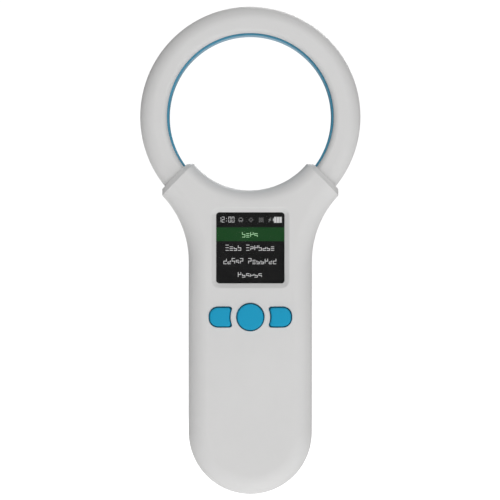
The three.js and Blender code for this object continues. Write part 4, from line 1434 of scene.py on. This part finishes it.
def case_screw(name, x, z):
    """A pan-head screw with a tapered cross recess."""
    low, high = (corner * 1000 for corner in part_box(f"case_screw_{name}"))
    head = (high.x - low.x) / 2
    shank = 1.1
    seat = high.y - 1.5
    levels = [
        (low.y, -head + 0.6),
        (low.y + 0.8, -head + shank),
        (seat, -head + shank),
        (seat, -0.1),
        (seat + 0.1, 0.0),
        (seat + 0.7, 0.0),
        (seat + 1.0, -0.12),
        (seat + 1.25, -0.42),
        (seat + 1.42, -0.9),
        (high.y, -1.5),
    ]
    screw = bar(x, z, head, levels)
    screw.name = f"case_screw_{name}_piece"
    long, thin = 1.15, 0.27

    def blade(across, bm, grow, y):
        half_sizes = (long + grow, thin + grow * 0.25)
        half_x, half_z = half_sizes if across else half_sizes[::-1]
        return rounded_rectangle(bm, 2 * half_x, 2 * half_z, 0.1, x, y, z, 2)

    levels = [(high.y + 0.3, 0.1), (high.y - 0.2, 0.0), (high.y - 1.05, -0.65)]
    carve(screw, [tool(partial(blade, across), levels) for across in (False, True)])
    return settle(screw, finish("steel"), replaces=[f"case_screw_{name}"], sharp=35)


def rating_label():
    """A blank label of silvery film with a printed frame."""
    inner, outer = LABEL_LOW.y * 1000, LABEL_HIGH.y * 1000
    bm = bmesh.new()
    loft(bm, label_outline, [(inner, 0.0), (outer - 0.04, 0.0), (outer - 0.02, -0.03)])
    top = max(bm.faces, key=lambda face: face.calc_center_median().y)
    bmesh.ops.inset_region(bm, faces=[top], thickness=1.0, use_even_offset=True)
    bmesh.ops.inset_region(bm, faces=[top], thickness=0.35, use_even_offset=True)
    frame_faces = {face for edge in top.edges for face in edge.link_faces} - {top}
    for face in frame_faces:
        face.material_index = 1
    obj = to_object(bm, "rating_label_piece")
    obj.data.materials.append(finish("label"))
    ink = moulded("scanner label ink", scene_colour((0.35, 0.36, 0.38)), 0.5, wear=0, dust_and_shade=0)
    obj.data.materials.append(ink)
    return settle(obj, None, replaces=["rating_label"])


def charging_socket():
    """The socket's folded steel tube, open at its mouth, and the contacts on its tongue."""
    foot, head = -SOCKET_LOW.z * 1000, -SOCKET_HIGH.z * 1000
    skin = 0.3
    levels = [
        (foot, -0.2),
        (foot - 0.1, -0.04),
        (foot - 0.25, 0.0),
        (head, 0.0),
        (head + 0.02, -1.2),
        (head + skin, -1.2),
        (head + skin + 0.02, -skin),
        (foot - 0.15, -skin),
        (foot - 0.02, 0.06 - skin),
    ]
    bm = bmesh.new()
    loft(bm, partial(socket_outline, 0), levels)
    ends = sorted(bm.faces, key=lambda face: len(face.verts))[-2:]
    bmesh.ops.delete(bm, geom=ends, context="FACES_ONLY")
    rims = [edge for edge in bm.edges if edge.is_boundary]
    bmesh.ops.bridge_loops(bm, edges=rims)
    stand_up(bm)
    shell = to_object(bm, "usb_socket_shell_piece")
    settle(shell, finish("steel"), replaces=["usb_socket_shell"])

    low, high = (corner * 1000 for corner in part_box("usb_socket_tongue"))
    pitch, half = 0.6, 0.13
    bm = bmesh.new()
    for y0, y1 in ((low.y + 0.02, low.y + 0.06), (high.y - 0.06, high.y - 0.02)):
        for i in range(-4, 5):
            x = i * pitch
            add_block(bm, x - half, x + half, y0, y1, low.z + 0.25, low.z + 2.6)
    contacts = to_object(bm, "usb_socket_contacts")
    settle(contacts, finish("gold"))


# ---------------------------------------------------------------- operators


class SCANNER_OT_shells(bpy.types.Operator):
    """Build the front and rear shells of the handle"""

    bl_idname = "scanner.shells"
    bl_label = "Handle Shells"

    def execute(self, context):
        scene = context.scene
        sizes, ring = in_mm(scene.scanner_body), in_mm(scene.scanner_ring)
        display, keys = in_mm(scene.scanner_display), in_mm(scene.scanner_keys)
        front_shell(sizes, ring, display, keys)
        rear_shell(sizes, ring)
        return {"FINISHED"}


class SCANNER_OT_ring(bpy.types.Operator):
    """Build the antenna ring and its blue liner"""

    bl_idname = "scanner.ring"
    bl_label = "Antenna Ring"

    def execute(self, context):
        ring = in_mm(context.scene.scanner_ring)
        ring_half(ring, -1)
        ring_half(ring, 1)
        liner(ring)
        return {"FINISHED"}


class SCANNER_OT_display(bpy.types.Operator):
    """Build the window, the display and its lit picture"""

    bl_idname = "scanner.display"
    bl_label = "Display"

    def execute(self, context):
        display = in_mm(context.scene.scanner_display)
        window(display)
        display_panel()
        picture(display, PANEL_LOW.y * 1000)
        return {"FINISHED"}


class SCANNER_OT_keys(bpy.types.Operator):
    """Build the three keys and the skirts they move on"""

    bl_idname = "scanner.keys"
    bl_label = "Keys"

    def execute(self, context):
        keys = in_mm(context.scene.scanner_keys)
        for side, name in ((-1, "left"), (0, "centre"), (1, "right")):
            key_top(keys, side, name)
            key_web(keys, side, name)
        return {"FINISHED"}


class SCANNER_OT_fittings(bpy.types.Operator):
    """Build the case screws, the label and the charging socket"""

    bl_idname = "scanner.fittings"
    bl_label = "Screws, Label and Socket"

    def execute(self, context):
        for name, x, z in screw_places(in_mm(context.scene.scanner_body)):
            case_screw(name, x, z)
        rating_label()
        charging_socket()
        return {"FINISHED"}


class SCANNER_OT_inside(bpy.types.Operator):
    """Give the boards, coil, battery and other inner parts their finishes"""

    bl_idname = "scanner.inside"
    bl_label = "Inner Parts"

    def execute(self, context):
        for part in frame["record"]["subparts"]:
            obj = frame["nodes"][part["node"]]
            obj.data.materials.clear()
            obj.data.materials.append(finish(part["material_slot"]))
        return {"FINISHED"}


def soft_light(name, place, target, width, height, power):
    """A rectangular softbox aimed at a target, not seen by the camera."""
    data = bpy.data.lights.new(name, "AREA")
    data.shape = "RECTANGLE"
    data.size, data.size_y = width, height
    data.energy = power
    light = bpy.data.objects.new(name, data)
    light.location = place
    light.rotation_euler = (Vector(target) - Vector(place)).to_track_quat("-Z", "Y").to_euler()
    light.visible_camera = False
    bpy.context.scene.collection.objects.link(light)


def studio_floor(scene, z):
    """A pale floor that shines a little, and more to the camera, so that it stays even."""
    bm = bmesh.new()
    bmesh.ops.create_circle(bm, cap_ends=True, radius=4.0, segments=96)
    bmesh.ops.translate(bm, verts=bm.verts, vec=(0, 0, z))
    mesh = bpy.data.meshes.new("floor")
    bm.to_mesh(mesh)
    bm.free()
    floor = bpy.data.objects.new("floor", mesh)
    scene.collection.objects.link(floor)
    mat, tree, shader = new_material("scanner floor")
    pale = scene_colour(scene.scanner_colours.floor)
    tint = blend_colour(tree, noise(tree, 6.0), shifted(pale, 0.98), pale)
    tree.links.new(tint, shader.inputs["Base Color"])
    shader.inputs["Roughness"].default_value = 0.8
    shader.inputs["Specular IOR Level"].default_value = 0.1
    shader.inputs["Emission Color"].default_value = (1.0, 1.0, 1.0, 1.0)
    ray = tree.nodes.new("ShaderNodeLightPath")
    glow = math_node(tree, "MULTIPLY", ray.outputs["Is Camera Ray"], 0.5)
    tree.links.new(math_node(tree, "ADD", glow, 0.45), shader.inputs["Emission Strength"])
    mesh.materials.append(mat)


def studio_world(scene):
    """A white backdrop for the camera, and a much weaker fill light for the scanner."""
    world = bpy.data.worlds.new("studio")
    world.use_nodes = True
    scene.world = world
    tree = world.node_tree
    seen = tree.nodes.new("ShaderNodeBackground")
    seen.inputs["Color"].default_value = (1, 1, 1, 1)
    seen.inputs["Strength"].default_value = 1.05
    fill = tree.nodes["Background"]
    fill.inputs["Color"].default_value = (1, 1, 1, 1)
    fill.inputs["Strength"].default_value = 0.16
    pick = tree.nodes.new("ShaderNodeMixShader")
    ray = tree.nodes.new("ShaderNodeLightPath")
    tree.links.new(ray.outputs["Is Camera Ray"], pick.inputs["Fac"])
    tree.links.new(fill.outputs["Background"], pick.inputs[1])
    tree.links.new(seen.outputs["Background"], pick.inputs[2])
    tree.links.new(pick.outputs["Shader"], tree.nodes["World Output"].inputs["Surface"])


def studio_camera(scene, z):
    """A long lens straight in front. At the scanner, its view is as wide as view_width."""
    view_width = 0.18775
    left, up = 0.00012, 0.0001
    data = bpy.data.cameras.new("camera")
    data.lens = 250.0
    data.sensor_width = 36.0
    data.clip_start = 0.05
    camera = bpy.data.objects.new("camera", data)
    distance = view_width * data.lens / data.sensor_width
    camera.location = (-left, -distance, z + up)
    camera.rotation_euler = (QUARTER, 0, 0)
    scene.collection.objects.link(camera)
    scene.camera = camera


class SCANNER_OT_stage(bpy.types.Operator):
    """Build the floor, the soft studio light and the camera"""

    bl_idname = "scanner.stage"
    bl_label = "Stage"

    def execute(self, context):
        scene = context.scene
        low, high = (Vector(corner) for corner in CAD_BOX)
        middle = (low.z + high.z) / 2
        studio_floor(scene, low.z - 0.06)
        studio_world(scene)
        aim = (0, 0, middle)
        soft_light("front softbox", (0.3, -1.35, 0.8), aim, 0.7, 0.9, 10.6)
        soft_light("top softbox", (0, 0.1, 1.2), aim, 0.9, 0.9, 1.9)
        soft_light("low softbox", (0, -0.02, low.z - 0.055), aim, 0.5, 0.5, 0.16)
        soft_light("back softbox", (0.3, 1.35, 0.8), aim, 0.7, 0.9, 9.6)
        studio_camera(scene, middle)
        scene.view_settings.view_transform = "Standard"
        return {"FINISHED"}


class SCANNER_PT_panel(bpy.types.Panel):
    """Sizes, colours and building steps of the scanner"""

    bl_idname = "SCANNER_PT_panel"
    bl_label = "Microchip Scanner"
    bl_space_type = "VIEW_3D"
    bl_region_type = "UI"
    bl_category = "Scanner"

    def draw(self, context):
        layout = self.layout
        for title, name, kind in GROUPS:
            box = layout.box()
            box.label(text=title)
            group = getattr(context.scene, name)
            for prop in kind.__annotations__:
                box.prop(group, prop)
        for step in STEPS:
            layout.operator(step.bl_idname)


GROUPS = (
    ("Handle", "scanner_body", ScannerBodySizes),
    ("Ring", "scanner_ring", ScannerRingSizes),
    ("Display", "scanner_display", ScannerDisplaySizes),
    ("Keys", "scanner_keys", ScannerKeySizes),
    ("Colours", "scanner_colours", ScannerColours),
)
STEPS = (
    SCANNER_OT_stage,
    SCANNER_OT_inside,
    SCANNER_OT_shells,
    SCANNER_OT_ring,
    SCANNER_OT_display,
    SCANNER_OT_keys,
    SCANNER_OT_fittings,
)


def register():
    for _, name, kind in GROUPS:
        bpy.utils.register_class(kind)
        setattr(bpy.types.Scene, name, bpy.props.PointerProperty(type=kind))
    for step in STEPS:
        bpy.utils.register_class(step)
    bpy.utils.register_class(SCANNER_PT_panel)


def unregister():
    bpy.utils.unregister_class(SCANNER_PT_panel)
    for step in reversed(STEPS):
        bpy.utils.unregister_class(step)
    for _, name, kind in reversed(GROUPS):
        delattr(bpy.types.Scene, name)
        bpy.utils.unregister_class(kind)


def main():
    """Builds the scanner."""
    register()
    for step in STEPS:
        area, name = step.bl_idname.split(".")
        getattr(getattr(bpy.ops, area), name)()
    bpy.context.view_layer.update()


if __name__ == "__main__":
    main()
